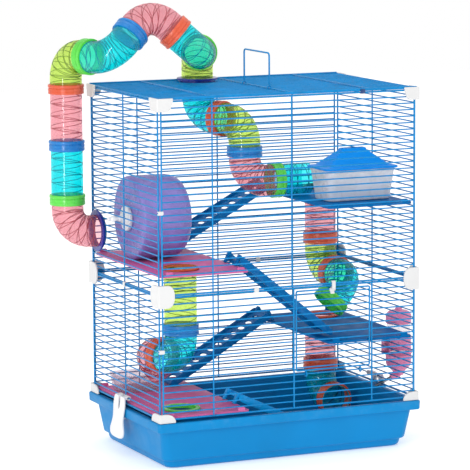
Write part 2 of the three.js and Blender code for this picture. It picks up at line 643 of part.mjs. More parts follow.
// ---------------------------------------------------------------- nest box
const NEST = { x0: 86, x1: 212, y0: -104, y1: -30 };
const NEST_FLOOR = Z_UP_RIGHT + 0.4;
const NEST_TOP = NEST_FLOOR + 51;
{
  const tub = lofted([
    inset(NEST, 7, NEST_FLOOR, 11),
    inset(NEST, 0, NEST_TOP, 12),
    inset(NEST, 2.2, NEST_TOP, 11),
    inset(NEST, 9, NEST_FLOOR + 2.4, 10),
  ], 3);
  const way = new THREE.Shape();
  way.moveTo(-17, 0);
  way.lineTo(17, 0);
  way.absarc(0, 17, 17, 0, Math.PI);
  way.lineTo(-17, 0);
  const arch = new THREE.ExtrudeGeometry(way, { depth: 24, curveSegments: 5, bevelEnabled: false });
  arch.applyMatrix4(new THREE.Matrix4().makeBasis(AXIS_X.clone().negate(), AXIS_Z, AXIS_Y));
  arch.translate((NEST.x0 + NEST.x1) / 2 - 28, NEST.y1 - 14, NEST_FLOOR + 6);
  put("nest_tub", geometryOf(solid(tub).subtract(solid(arch))), nestGrey);
}
{
  const brim = { x0: NEST.x0 - 3, x1: NEST.x1 + 3, y0: NEST.y0 - 3, y1: NEST.y1 + 3 };
  const z = NEST_TOP + 0.3;
  const level = (ax, ay, height, r) => ({
    x0: brim.x0 + ax, x1: brim.x1 - ax, y0: brim.y0 + ay, y1: brim.y1 - ay, r, z: z + height,
  });
  const roof = lofted([
    level(0, 0, 0, 10),
    level(0, 0, 3, 10),
    level(13, 10, 5.5, 6),
    level(44, 33, 29, 1.5),
    level(44, 33, 32, 1.5),
    level(46, 35, 32, 1),
    level(46, 35, 27.5, 1),
    level(15.5, 12.5, 3.5, 5),
    level(15.5, 12.5, 0, 5),
  ], 2);
  const low = lofted([level(15.5, 12.5, -1, 5), level(15.5, 12.5, 3.5, 5), level(46, 35, 27.5, 1)], 2);
  put("nest_roof", geometryOf(solid(roof).subtract(solid(low))), roofBlue);
}

// ---------------------------------------------------------------- bottle, bracket and dish
const BOTTLE_X = 250;
const BOTTLE_Y = -35;
{
  const at = new THREE.Vector3(BOTTLE_X, BOTTLE_Y, 0);
  const body = turned([
    [0, 97], [8, 97], [9.5, 103], [17, 110], [21, 117], [21.5, 132], [19, 133.4], [19, 139.6],
    [21.5, 141], [21.5, 163.4], [19.5, 165], [19.5, 183], [21.5, 184.6], [21.5, 199], [17, 205],
    [7, 207], [6, 210], [0, 211.5],
  ], at, AXIS_Z, 14);
  // The spout passes between the wall's bottom rail and its lowest rung.
  const start = new THREE.Vector3(BOTTLE_X, BOTTLE_Y, 99.5);
  const tip = new THREE.Vector3(207, BOTTLE_Y, 81.6);
  const way = tip.clone().sub(start);
  const length = way.length();
  const spout = turned([[0, 0], [6.5, 0], [5.4, 14], [2.6, 17], [2.6, length], [0, length]],
    start, way.normalize(), 10);
  put("bottle", geometryOf(solid(body).add(solid(spout))), bottlePink);
}
{
  // The bracket hooks over the wall's rungs and holds the bottle's waist.
  const at = new THREE.Vector3(BOTTLE_X, BOTTLE_Y, 134);
  const band = hollowRing(at, AXIS_Z, 4.2, 19.8, 23.2, 14);
  const arm = boxSolid(HALF_X + 0.5, BOTTLE_X - 20.5, BOTTLE_Y - 7, BOTTLE_Y + 7, 134, 138.2);
  const plate = boxSolid(HALF_X + 0.4, HALF_X + 3, BOTTLE_Y - 15, BOTTLE_Y + 15, 133.4, 165);
  put("bottle_bracket", geometryOf(join([solid(band), arm, plate])), bottlePink);
}
{
  const dish = { x0: -212, x1: -130, y0: 56, y1: 118 };
  const z = Z_LOW_LEFT + 0.4;
  put("food_dish", lofted([
    inset(dish, 6, z, 12),
    inset(dish, 1.5, z + 26, 14),
    inset(dish, 0, z + 28, 15),
    inset(dish, 3.2, z + 29, 13),
    inset(dish, 8.5, z + 2.5, 10),
  ], 3), clear);
}

// ---------------------------------------------------------------- tubes
class ElbowPath extends THREE.Curve {
  // Straight, quarter bend, straight: `corner` is where the two straights would meet.
  constructor(corner, into, out, legIn, legOut, radius) {
    super();
    this.start = corner.clone().addScaledVector(into, -legIn);
    this.bendStart = corner.clone().addScaledVector(into, -radius);
    this.centre = this.bendStart.clone().addScaledVector(out, radius);
    this.into = into;
    this.out = out;
    this.radius = radius;
    this.first = legIn - radius;
    this.arc = (Math.PI / 2) * radius;
    this.last = legOut - radius;
  }

  getPoint(t, target = new THREE.Vector3()) {
    const along = t * (this.first + this.arc + this.last);
    if (along <= this.first) {
      return target.copy(this.start).addScaledVector(this.into, along);
    }
    const turn = Math.min((along - this.first) / this.radius, Math.PI / 2);
    target.copy(this.centre)
      .addScaledVector(this.out, -this.radius * Math.cos(turn))
      .addScaledVector(this.into, this.radius * Math.sin(turn));
    const over = along - this.first - this.arc;
    return over > 0 ? target.addScaledVector(this.out, over) : target;
  }
}

function annulus() {
  const ring = new THREE.Shape();
  ring.absarc(0, 0, TUBE_R, 0, Math.PI * 2);
  const bore = new THREE.Path();
  bore.absarc(0, 0, TUBE_BORE, 0, Math.PI * 2);
  ring.holes.push(bore);
  return ring;
}

function direction(x, y, z) {
  return new THREE.Vector3(x, y, z).normalize();
}

// An elbow with a coupling ring on its far end and, if asked, flanges near its ends.
// `discs` are extra collars: { end: "in" | "out", from, to, radius }, measured from the corner.
function elbowSolid({ corner, into, out, legIn, legOut, ring = true, discs = [] }) {
  const path = new ElbowPath(corner, into, out, legIn, legOut, ELBOW_R);
  const bend = new THREE.ExtrudeGeometry(annulus(), {
    steps: ELBOW_STEPS, curveSegments: TUBE_SIDES / 2, extrudePath: path, bevelEnabled: false,
  });
  const pieces = [solid(bend)];
  if (ring) {
    const at = corner.clone().addScaledVector(out, legOut - 2 * RING_HALF);
    pieces.push(solid(hollowRing(at, out, 2 * RING_HALF - 0.1, RING_CORE, RING_R)));
  }
  for (const disc of discs) {
    const axis = disc.end === "in" ? into.clone().negate() : out;
    const at = corner.clone().addScaledVector(axis, disc.from);
    pieces.push(solid(hollowRing(at, axis, disc.to - disc.from, RING_CORE, disc.radius)));
  }
  return join(pieces);
}

function elbow(name, material, options) {
  put(name, geometryOf(elbowSolid(options)), material);
}

// A straight piece; `collars` are [from, to, radius] along its length.
function straightGeometry(at, axis, length, collars) {
  const outer = [[TUBE_R, 0]];
  for (const [from, to, radius] of collars) {
    outer.push([TUBE_R, from], [radius, from], [radius, to], [TUBE_R, to]);
  }
  outer.push([TUBE_R, length]);
  const profile = outer.filter((p, i) => i === 0 || p[0] !== outer[i - 1][0] || p[1] !== outer[i - 1][1]);
  profile.unshift([TUBE_BORE, 0]);
  profile.push([TUBE_BORE, length], [TUBE_BORE, 0]);
  return turned(profile, at, axis, TUBE_SIDES);
}

function straight(name, material, ...options) {
  put(name, straightGeometry(...options), material);
}

const DOWN = AXIS_Z.clone().negate();
const LEFT = AXIS_X.clone().negate();
const REST = LEG - RING_HALF - JOIN; // leg of an elbow that starts at its neighbour's ring
const FULL = LEG + RING_HALF; // leg of an elbow that carries the ring

// Outside run: out of the left wall, up, and over the roof in four turned elbows.
const YAW = THREE.MathUtils.degToRad(19.45);
const PITCH = Math.atan(Math.sqrt(Math.cos(2 * YAW)));
const outX = -278;
const outwards = [
  new THREE.Vector3(Math.sin(YAW), -Math.cos(YAW), 0),
  new THREE.Vector3(Math.cos(PITCH) * Math.cos(YAW), Math.cos(PITCH) * Math.sin(YAW), Math.sin(PITCH)),
  new THREE.Vector3(Math.cos(PITCH) * Math.cos(YAW), -Math.cos(PITCH) * Math.sin(YAW), -Math.sin(PITCH)),
  new THREE.Vector3(Math.sin(YAW), Math.cos(YAW), 0),
];
const overCorners = [new THREE.Vector3(outX, OUTLET_Y, 640)];
outwards.forEach((way, i) => overCorners.push(overCorners[i].clone().addScaledVector(way, 2 * LEG)));

elbow("tube_wall_elbow", tubePink, {
  corner: new THREE.Vector3(outX, OUTLET_Y, OUTLET_Z),
  into: LEFT,
  out: AXIS_Z,
  legIn: 57,
  legOut: 413.5 - OUTLET_Z,
  discs: [
    { end: "in", from: 48.5, to: 52.3, radius: FLANGE_R },
    { end: "in", from: 52, to: 57, radius: 28.4 },
  ],
});
straight("tube_rise_cyan", tubeCyan, new THREE.Vector3(outX, OUTLET_Y, 413.8), AXIS_Z, 88, [[71, 88, RING_R]]);
straight("tube_rise_pink", tubePink, new THREE.Vector3(outX, OUTLET_Y, 502.1), AXIS_Z, 90.5, [[75.5, 90.5, RING_R]]);
elbow("tube_over_1", tubeGreen, {
  corner: overCorners[0], into: AXIS_Z, out: outwards[0], legIn: 640 - 592.9, legOut: FULL,
});
elbow("tube_over_2", tubeCyan, {
  corner: overCorners[1], into: outwards[0], out: outwards[1], legIn: REST, legOut: FULL,
});
elbow("tube_over_3", tubePink, {
  corner: overCorners[2], into: outwards[1], out: outwards[2], legIn: REST, legOut: FULL,
});
elbow("tube_over_4", tubeCyan, {
  corner: overCorners[3], into: outwards[2], out: outwards[3], legIn: REST, legOut: FULL,
});
const roofCorner = overCorners[4];
elbow("tube_over_5", tubeGreen, {
  corner: roofCorner,
  into: outwards[3],
  out: DOWN,
  legIn: REST,
  legOut: roofCorner.z - 578,
  ring: false,
  discs: [
    { end: "out", from: roofCorner.z - ROOF_Z - 8.6, to: roofCorner.z - ROOF_Z - 5.2, radius: FLANGE_R },
    { end: "out", from: roofCorner.z - ROOF_Z - 5.6, to: roofCorner.z - 578, radius: 28.4 },
  ],
});

// Inside run: from the roof down to the upper right platform.
const dropCorner = new THREE.Vector3(roofCorner.x, roofCorner.y, 529.5);
const across = direction(0.407, -0.914, 0);
const turnCorner = dropCorner.clone().addScaledVector(across, 104);
const landCorner = new THREE.Vector3(turnCorner.x, turnCorner.y, Z_UP_RIGHT + 0.5 + TUBE_R);
elbow("tube_inner_1", tubeCyan, {
  corner: dropCorner, into: DOWN, out: across, legIn: 577.7 - 529.5, legOut: 60.5,
});
elbow("tube_inner_2", tubeGreen, {
  corner: turnCorner, into: across, out: DOWN, legIn: 43.2, legOut: 58.5,
});
elbow("tube_inner_3", tubePink, {
  corner: landCorner, into: DOWN, out: AXIS_X, legIn: 529.5 - 58.8 - landCorner.z, legOut: 63.5,
});
straight("tube_inner_end", tubeCyan, new THREE.Vector3(landCorner.x + 63.8, landCorner.y, landCorner.z),
  AXIS_X, 50, []);

// Right column: under the upper right platform, ending above the middle one.
const FLANGE_LIFT = 0.4;
const SEAT = 4.4;
const rightUpper = new THREE.Vector3(COLUMN_X, COLUMN_Y, 264.7);
straight("tube_right_straight", tubePink, new THREE.Vector3(COLUMN_X, COLUMN_Y, Z_UP_RIGHT + SEAT), DOWN,
  Z_UP_RIGHT + SEAT - 306.5, [[0.6, SEAT - FLANGE_LIFT, 30.5], [79.9, 100.4, RING_R]]);
const rightOut = direction(0.052, -0.9986, 0);
const rightTurn = rightUpper.clone().addScaledVector(rightOut, 104);
elbow("tube_right_elbow", tubeGreen, {
  corner: rightUpper, into: DOWN, out: rightOut, legIn: 306.2 - 264.7, legOut: 60.5,
});
elbow("tube_right_outlet", tubeCyan, {
  corner: rightTurn, into: rightOut, out: direction(rightOut.y, -rightOut.x, -1), legIn: 43.2, legOut: 60.5,
});

// Floor column: through the middle right platform to the tray floor.
const floorCorner = new THREE.Vector3(COLUMN_X, COLUMN_Y, 49.8);
const floorDrop = straightGeometry(new THREE.Vector3(COLUMN_X, COLUMN_Y, Z_MID_RIGHT + SEAT), DOWN,
  Z_MID_RIGHT + SEAT - 91, [[0.6, SEAT - FLANGE_LIFT, 30.5], [76, 97.4, RING_R]]);
const floorBend = elbowSolid({
  corner: floorCorner, into: DOWN, out: AXIS_Y.clone().negate(), legIn: 92 - 49.8, legOut: 60.5,
});
put("tube_floor", geometryOf(solid(floorDrop).add(floorBend)), tubeCyan);

// Left column: under the upper left platform, ending above the lower one.
const leftCorner = new THREE.Vector3(-COLUMN_X, -COLUMN_Y, 164.3);
straight("tube_left_straight", tubeGreen, new THREE.Vector3(-COLUMN_X, -COLUMN_Y, Z_UP_LEFT + SEAT), DOWN,
  Z_UP_LEFT + SEAT - 204.6, [[0.6, SEAT - FLANGE_LIFT, 30.5], [92, 110.3, RING_R]]);
const leftOut = direction(-0.225, 0.974, 0);
const leftTurn = leftCorner.clone().addScaledVector(leftOut, 100);
const leftBend = elbowSolid({ corner: leftCorner, into: DOWN, out: leftOut, legIn: 40, legOut: 58.5 });
const leftOutlet = elbowSolid({
  corner: leftTurn,
  into: leftOut,
  out: direction(leftOut.y, -leftOut.x, -1),
  legIn: 43,
  legOut: 50,
  ring: false,
});
put("tube_left_outlet", geometryOf(leftBend.add(leftOutlet)), tubePink);

export default cage;
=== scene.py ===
"""Blue wire hamster cage with a deep tray, platforms, ramps, wheel, nest, bottle and clip-together tubes.

Lengths of the object are millimetres until a mesh is made, in the CAD model's frame:
X right along the front, Y from front to back, Z up from the tray's underside.
The floor, the lights and the camera are placed in metres.
"""

from math import asin, atan, cos, pi, radians, sin, sqrt

import bmesh
import bpy
from mathutils import Matrix, Quaternion, Vector


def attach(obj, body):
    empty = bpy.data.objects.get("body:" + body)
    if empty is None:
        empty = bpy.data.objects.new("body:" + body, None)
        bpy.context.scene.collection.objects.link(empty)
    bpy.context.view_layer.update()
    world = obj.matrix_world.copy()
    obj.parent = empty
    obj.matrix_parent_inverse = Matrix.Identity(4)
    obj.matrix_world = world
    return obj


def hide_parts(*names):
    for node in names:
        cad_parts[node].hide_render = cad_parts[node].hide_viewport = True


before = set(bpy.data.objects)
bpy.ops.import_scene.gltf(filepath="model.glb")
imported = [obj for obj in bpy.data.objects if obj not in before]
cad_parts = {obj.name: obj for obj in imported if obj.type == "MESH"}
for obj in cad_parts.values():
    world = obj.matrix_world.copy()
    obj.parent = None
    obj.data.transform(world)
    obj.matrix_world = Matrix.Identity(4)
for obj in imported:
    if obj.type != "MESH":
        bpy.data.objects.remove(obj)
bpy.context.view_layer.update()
MM = 0.001
X, Y, Z = Vector((1, 0, 0)), Vector((0, 1, 0)), Vector((0, 0, 1))

# ---- materials

ALBEDO = 0.77  # surfaces are this much darker than they look, because the studio is bright
BROAD = (0.3, 0.7)  # noise values between which a slow drift goes from low to high


def srgb(r, g, b):
    """Linear surface colour that looks like the given 8-bit sRGB in this studio."""
    def lin(c):
        c = c / 255
        return c / 12.92 if c <= 0.04045 else ((c + 0.055) / 1.055) ** 2.4
    return (ALBEDO * lin(r), ALBEDO * lin(g), ALBEDO * lin(b), 1.0)


def scaled(color, k):
    return (color[0] * k, color[1] * k, color[2] * k, 1.0)


def fill(node, **values):
    """Gives plain values to a node's inputs; an underscore stands for a space."""
    for key, value in values.items():
        node.inputs[key.replace("_", " ")].default_value = value
    return node


def placed(name, data):
    """A new object in the scene."""
    obj = bpy.data.objects.new(name, data)
    bpy.context.scene.collection.objects.link(obj)
    return obj


class Nodes:
    """A small helper around a material's node tree."""

    def __init__(self, name):
        self.material = bpy.data.materials.new(name)
        self.material.use_nodes = True
        self.tree = self.material.node_tree
        self.tree.nodes.clear()
        self.output = self.add("ShaderNodeOutputMaterial")
        self.shader = self.add("ShaderNodeBsdfPrincipled")
        self.link(self.shader.outputs[0], self.output.inputs["Surface"])
        self.coords = self.add("ShaderNodeTexCoord").outputs["Object"]

    def add(self, kind, **settings):
        node = self.tree.nodes.new(kind)
        for key, value in settings.items():
            setattr(node, key, value)
        return node

    def link(self, a, b):
        self.tree.links.new(a, b)

    def noise(self, scale, detail=3.0, rough=0.55, stretch=(1, 1, 1)):
        mapping = fill(self.add("ShaderNodeMapping"), Scale=stretch)
        self.link(self.coords, mapping.inputs["Vector"])
        noise = fill(self.add("ShaderNodeTexNoise"), Scale=scale, Detail=detail, Roughness=rough)
        self.link(mapping.outputs[0], noise.inputs["Vector"])
        return noise.outputs["Fac"]

    def ramp(self, source, low, high, start=0.35, end=0.65):
        """Colours or grey values from low to high as source goes from start to end."""
        node = self.add("ShaderNodeValToRGB")
        stops = node.color_ramp.elements
        grey = not isinstance(low, tuple)
        stops[0].position, stops[1].position = start, end
        stops[0].color = (low, low, low, 1) if grey else low
        stops[1].color = (high, high, high, 1) if grey else high
        self.link(source, node.inputs[0])
        return node.outputs[0]

    def drift(self, color, down, up, scale, detail):
        """The colour, drifting slowly between a darker and a lighter share of itself."""
        return self.ramp(self.noise(scale, detail), scaled(color, down), scaled(color, up), *BROAD)

    def mix(self, factor, a, b):
        """Colour a where factor is 0 and colour b where it is 1; each is a value or a socket."""
        node = self.add("ShaderNodeMix", data_type="RGBA")
        for socket, value in ((node.inputs[0], factor), (node.inputs[6], a), (node.inputs[7], b)):
            if isinstance(value, tuple):
                socket.default_value = value
            else:
                self.link(value, socket)
        return node.outputs[2]

    def color(self, source):
        self.link(source, self.shader.inputs["Base Color"])

    def gloss(self, source):
        self.link(source, self.shader.inputs["Roughness"])

    def bump(self, height, strength, distance=0.0004):
        node = fill(self.add("ShaderNodeBump"), Strength=strength, Distance=distance)
        self.link(height, node.inputs["Height"])
        self.link(node.outputs[0], self.shader.inputs["Normal"])


def plastic(name, color, rough=0.34, worn=None, grain=0.25, spread=0.07, specular=0.5):
    """Moulded plastic: slow colour drift, a fine moulded grain, patchy gloss and paler rubbed edges."""
    n, color = Nodes(name), srgb(*color)
    base = n.drift(color, 1 - spread, 1 + spread, 9, 2)
    pointed = n.add("ShaderNodeNewGeometry").outputs["Pointiness"]
    edge = n.ramp(pointed, 0.0, 1.0, 0.53, 0.62)
    scuffs = n.ramp(n.noise(60, 6, 0.7), 0.0, 1.0, 0.5, 0.75)
    rubbed = n.mix(edge, (0, 0, 0, 1), scuffs)
    pale = srgb(*worn) if worn else tuple(min(1.0, c * 0.75 + 0.22) for c in color[:3]) + (1.0,)
    n.color(n.mix(rubbed, base, pale))
    n.gloss(n.ramp(n.noise(35, 4), rough * 0.82, rough * 1.25, 0.3, 0.72))
    n.bump(n.noise(900, 3), grain)
    fill(n.shader, Specular_IOR_Level=specular)
    return n.material


def coated_wire(name, color):
    """Powder-coated steel wire: orange-peel gloss, with a little more paint gathered in places."""
    n, color = Nodes(name), srgb(*color)
    base = n.drift(color, 0.86, 1.12, 40, 3)
    chips = n.ramp(n.noise(420, 2, 0.4), 0.0, 1.0, 0.76, 0.79)
    n.color(n.mix(chips, base, scaled(color, 0.55)))
    n.gloss(n.ramp(n.noise(120, 3), 0.24, 0.42))
    n.bump(n.noise(700, 2), 0.3, 0.0002)
    fill(n.shader, Specular_IOR_Level=0.22)
    return n.material


def tinted(name, body, through, solid, rough=0.12, spread=0.08, specular=0.6, coat=0.0):
    """See-through moulding: a tinted clear layer and a share `solid` of glossy coloured plastic."""
    n = Nodes(name)
    n.color(n.drift(srgb(*body), 1 - spread, 1 + spread, 25, 3))
    n.gloss(n.ramp(n.noise(50, 4), rough * 0.6, rough * 1.7))
    n.bump(n.noise(260, 2), 0.12, 0.0003)
    fill(n.shader, Specular_IOR_Level=specular, Coat_Weight=coat, Coat_Roughness=0.05)
    clear = n.add("ShaderNodeBsdfTransparent")
    clear.inputs[0].default_value = (*through, 1)
    mix = n.add("ShaderNodeMixShader")
    n.link(n.ramp(n.noise(30, 3), solid * 0.85, solid * 1.15, *BROAD), mix.inputs[0])
    n.link(clear.outputs[0], mix.inputs[1])
    n.link(n.shader.outputs[0], mix.inputs[2])
    n.link(mix.outputs[0], n.output.inputs["Surface"])
    return n.material


def tube_wall(name, body, through, solid, specular=1.0, coat=1.0):
    return tinted(name, body, through, solid, 0.08, specular=specular, coat=coat)


def ring(name, body, through, solid):
    return tinted(name, body, through, solid, 0.22)


def steel():
    """Drawn stainless tube: fine lines along it and faint smudges."""
    n = Nodes("spout_steel")
    lines = n.noise(900, 3, 0.6, (1, 1, 0.05))
    n.color(n.ramp(lines, srgb(120, 122, 126), srgb(168, 170, 174)))
    n.gloss(n.ramp(n.noise(80, 3), 0.18, 0.34))
    fill(n.shader, Metallic=1.0)
    n.bump(lines, 0.1, 0.0001)
    return n.material


WIRE = coated_wire("wire_blue", (0, 142, 212))
TRAY = plastic("tray_blue", (0, 142, 210), 0.42, specular=0.16)
PINK_FLOOR = plastic("platform_pink", (242, 118, 180), 0.4, grain=0.08, specular=0.05)
BLUE_FLOOR = plastic("platform_blue", (0, 118, 190), 0.45, grain=0.08, specular=0.03)
RAMP = plastic("ramp_blue", (0, 120, 192), 0.4, specular=0.1)
# a lighter copy of the ramp blue, used only on the floor ramp: painted light, standing for the top light that
# falls on that ramp
RAMP_PAINTED_LIT = plastic("ramp_floor_blue_painted_lit", (4, 176, 255), 0.4, specular=0.2)
WHITE = plastic("white_plastic", (232, 232, 232), 0.4, (225, 223, 218), spread=0.02)
# a brighter copy of the white plastic: painted light for the tray latches and the wheel axle, which sit in
# shade on the cage's sides
WHITE_PAINTED_LIT = plastic("white_painted_lit", (252, 252, 252), 0.38, (244, 243, 240), spread=0.02)
CLIP_DARK = plastic("clip_dark_blue", (16, 58, 120), 0.35)
ROOF_BLUE = plastic("nest_roof_blue", (0, 156, 255), 0.34, grain=0.1, spread=0.03, specular=0.12)
BOTTLE_PINK = tinted("bottle_pink", (236, 136, 184), (0.97, 0.64, 0.8), 0.62, 0.2)
BOTTLE_CLEAR = tinted("bottle_window", (250, 246, 250), (0.97, 0.96, 0.97), 0.3, 0.15)
RINGS = {
    "orange": ring("ring_orange", (250, 106, 68), (0.92, 0.34, 0.18), 0.82),
    "blue": ring("ring_blue", (16, 140, 224), (0.08, 0.45, 0.86), 0.8),
    "green": ring("ring_green", (108, 244, 88), (0.38, 0.95, 0.28), 0.8),
    "navy": ring("flange_navy", (14, 40, 156), (0.05, 0.1, 0.5), 0.9),
}
TUBE_WALLS = {
    "cyan": tube_wall("tube_cyan", (0, 232, 242), (0.07, 0.92, 0.95), 0.28, 0.7, 0.8),
    "pink": tube_wall("tube_pink", (246, 130, 142), (0.98, 0.68, 0.72), 0.26),
    "lime": tube_wall("tube_lime", (192, 242, 56), (0.86, 0.98, 0.44), 0.26),
}
TUBE_LINES = {
    "cyan": tinted("tube_cyan_ribs", (0, 104, 132), (0.05, 0.35, 0.45), 0.85),
    "pink": tinted("tube_pink_ribs", (170, 42, 60), (0.7, 0.2, 0.25), 0.82),
    "lime": tinted("tube_lime_ribs", (74, 106, 4), (0.3, 0.42, 0.08), 0.85),
}
TUBE_INNER = tinted("tube_bore", (235, 240, 240), (0.985, 0.99, 0.99), 0.03)
GLASSY = tinted("dish_clear", (216, 208, 218), (0.9, 0.84, 0.88), 0.26, 0.2, 0.02, 0.5)
NEST = tinted("nest_grey", (236, 238, 244), (0.92, 0.93, 0.96), 0.94, 0.3, 0.02)
WHEEL = tinted("wheel_purple", (156, 140, 218), (0.6, 0.55, 0.9), 0.88, 0.3)
STEEL = steel()

# ---- mesh building

DOME_RISE, DOME_SHARE = 0.35, 0.6  # the end of a wire, as shares of its radius
EDGE_SEGMENTS, EDGE_ANGLE = 2, 35
WIRE_MERGE, EYE_WIRE_R = 0.0005, 1.2


def angles(count, offset=0):
    """Equal steps round a full turn."""
    return [2 * pi * (i + offset) / count for i in range(count)]


def ring_about(centre, normal, binormal, r, sides):
    return [centre + normal * (r * cos(a)) + binormal * (r * sin(a)) for a in angles(sides)]


class Build:
    """Collects vertices and faces in millimetres and turns them into one object."""

    def __init__(self):
        self.verts, self.faces, self.slots, self.materials = [], [], [], []

    def add(self, verts, faces, material):
        if material not in self.materials:
            self.materials.append(material)
        start, slot = len(self.verts), self.materials.index(material)
        self.verts.extend(Vector(v) for v in verts)
        self.faces.extend(tuple(start + i for i in face) for face in faces)
        self.slots.extend([slot] * len(faces))

    def grid(self, rings, material, close_rows=False, caps=False):
        """Joins closed rings of equal length into a skin, which caps close at both ends."""
        count, rows = len(rings[0]), len(rings)
        verts = [v for ring in rings for v in ring]
        faces = []
        for k in range(rows if close_rows else rows - 1):
            a, b = k * count, ((k + 1) % rows) * count
            for i in range(count):
                j = (i + 1) % count
                faces.append((a + i, a + j, b + j, b + i))
        if caps:
            faces.append(tuple(reversed(range(count))))
            faces.append(tuple(range((rows - 1) * count, rows * count)))
        self.add(verts, faces, material)

    def rod(self, points, radius, material, sides=8, closed=False):
        """A round wire along points. Its ends are slightly domed, unless it is a closed loop."""
        points = [Vector(p) for p in points]
        normals, binormals, tangents = carried_frames(points, closed)
        rings = [ring_about(*row, radius, sides) for row in zip(points, normals, binormals)]
        if not closed:
            small = radius * DOME_SHARE
            first = points[0] - tangents[0] * radius * DOME_RISE
            last = points[-1] + tangents[-1] * radius * DOME_RISE
            rings.insert(0, ring_about(first, normals[0], binormals[0], small, sides))
            rings.append(ring_about(last, normals[-1], binormals[-1], small, sides))
        self.grid(rings, material, close_rows=closed, caps=not closed)

    def eye(self, x, y, z, side, r, count, sides=8):
        """A closed eye of wire that starts at its top and turns towards the given side."""
        points = []
        for a in angles(count):
            out = r * sin(a)
            points.append((x + side.x * out, y + side.y * out, z + r * cos(a)))
        self.rod(points, EYE_WIRE_R, WIRE, sides, closed=True)

    def lathe(self, profile, origin, axis, material, segments=48):
        """Turns (radius, distance) points about an axis.

        A zero radius makes a pole; a profile that doesn't start at one is a closed loop.
        """
        origin = Vector(origin)
        turn = Z.rotation_difference(Vector(axis).normalized())
        rings, faces, verts = [], [], []
        for r, h in profile:
            count = segments if r else 1
            rings.append(list(range(len(verts), len(verts) + count)))
            for a in angles(count):
                verts.append(origin + turn @ Vector((r * cos(a), r * sin(a), h)))
        if profile[0][0]:
            rings.append(rings[0])
        for a, b in zip(rings, rings[1:]):
            for i in range(segments):
                j = (i + 1) % segments
                if len(a) == 1:
                    faces.append((a[0], b[j], b[i]))
                elif len(b) == 1:
                    faces.append((a[i], a[j], b[0]))
                else:
                    faces.append((a[i], a[j], b[j], b[i]))
        self.add(verts, faces, material)

    def plate(self, outline, thickness, matrix, material, bevel=0.5, holes=()):
        """A flat plate with holes and rounded edges, from a filled 2-D curve. Its middle is at z 0."""
        curve = bpy.data.curves.new("plate", "CURVE")
        curve.dimensions = "2D"
        curve.fill_mode = "BOTH"
        curve.extrude = thickness / 2 - bevel
        curve.bevel_depth = bevel
        curve.bevel_resolution = 1
        curve.offset = -bevel
        for loop in [outline, *holes]:
            spline = curve.splines.new("POLY")
            spline.points.add(len(loop) - 1)
            for point, (x, y) in zip(spline.points, loop):
                point.co = (x, y, 0, 1)
            spline.use_cyclic_u = True
        obj = placed("plate", curve)
        ready = obj.evaluated_get(bpy.context.evaluated_depsgraph_get())
        mesh = bpy.data.meshes.new_from_object(ready)
        verts = [Vector(matrix @ v.co) for v in mesh.vertices]
        faces = [tuple(p.vertices) for p in mesh.polygons]
        self.add(verts, faces, material)
        bpy.data.objects.remove(obj)
        bpy.data.meshes.remove(mesh)
        bpy.data.curves.remove(curve)

    def object(self, name, body, replaced=(), slot=None, merge=0.002, sharp=40, bevel=0.0):
        """One object that rides a body and stands in for the replaced nodes, with the built materials; the
        slot it is given is not used.
        """
        mesh = bpy.data.meshes.new(name)
        mesh.from_pydata([v * MM for v in self.verts], [], self.faces)
        mesh.polygons.foreach_set("material_index", self.slots)
        for material in self.materials:
            mesh.materials.append(material)
        obj = placed(name, mesh)
        tidy(mesh, merge * MM)
        mesh.polygons.foreach_set("use_smooth", [True] * len(mesh.polygons))
        mesh.set_sharp_from_angle(angle=radians(sharp))
        if bevel:
            modifier = obj.modifiers.new("edges", "BEVEL")
            modifier.width = bevel * MM
            modifier.segments = EDGE_SEGMENTS
            modifier.limit_method = "ANGLE"
            modifier.angle_limit = radians(EDGE_ANGLE)
            modifier.harden_normals = True
        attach(obj, body)
        if replaced:
            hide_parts(*replaced)

    def part(self, node, slot, body="base", suffix="_moulding", **finish):
        """The object that stands in for one node."""
        self.object(node + suffix, body, [node], slot, **finish)


def tidy(mesh, distance):
    """Merges the doubled vertices and turns every face outwards."""
    work = bmesh.new()
    work.from_mesh(mesh)
    bmesh.ops.remove_doubles(work, verts=work.verts, dist=distance)
    bmesh.ops.recalc_face_normals(work, faces=work.faces)
    work.to_mesh(mesh)
    work.free()


def carried_frames(points, closed=False):
    """Normals, binormals and tangents carried along a line of points without twisting."""
    count = len(points)
    tangents = []
    for i in range(count):
        ahead = points[(i + 1) % count] if closed or i + 1 < count else points[i]
        behind = points[i - 1] if closed or i > 0 else points[i]
        tangents.append((ahead - behind).normalized())
    helper = Z if abs(tangents[0].z) < 0.9 else Y
    normal = tangents[0].cross(helper).normalized()
    normals, binormals = [], []
    for i, tangent in enumerate(tangents):
        if i:
            normal = tangents[i - 1].rotation_difference(tangent) @ normal
            normal = (normal - tangent * normal.dot(tangent)).normalized()
        normals.append(normal)
        binormals.append(tangent.cross(normal))
    return normals, binormals, tangents


def rounded(x0, x1, y0, y1, r, steps=8):
    """Corner-rounded rectangle, anticlockwise."""
    low_x, high_x, low_y, high_y = x0 + r, x1 - r, y0 + r, y1 - r
    corners = ((high_x, low_y, -90), (high_x, high_y, 0), (low_x, high_y, 90), (low_x, low_y, 180))
    points = []
    for cx, cy, start in corners:
        for i in range(steps + 1):
            a = radians(start + 90 * i / steps)
            points.append((cx + r * cos(a), cy + r * sin(a)))
    return points


def layers(box, base, rows, steps):
    """Rounded rectangles inside a box. A row is the inset (or one for X and one for Y), height and radius."""
    x0, x1, y0, y1 = box
    rings = []
    for *inset, height, r in rows:
        in_x, in_y = inset[0], inset[-1]
        outline = rounded(x0 + in_x, x1 - in_x, y0 + in_y, y1 - in_y, r, steps)
        rings.append([(x, y, base + height) for x, y in outline])
    return rings


def oval(x, y, rx, ry, steps):
    return [(x + rx * cos(a), y + ry * sin(a)) for a in angles(steps)]


def basis(x, y, z, at=(0, 0, 0)):
    """A matrix whose columns are the given axes and origin."""
    m = Matrix((x, y, z)).transposed().to_4x4()
    m.translation = Vector(at)
    return m


def raised(z):
    return Matrix.Translation((0, 0, z))


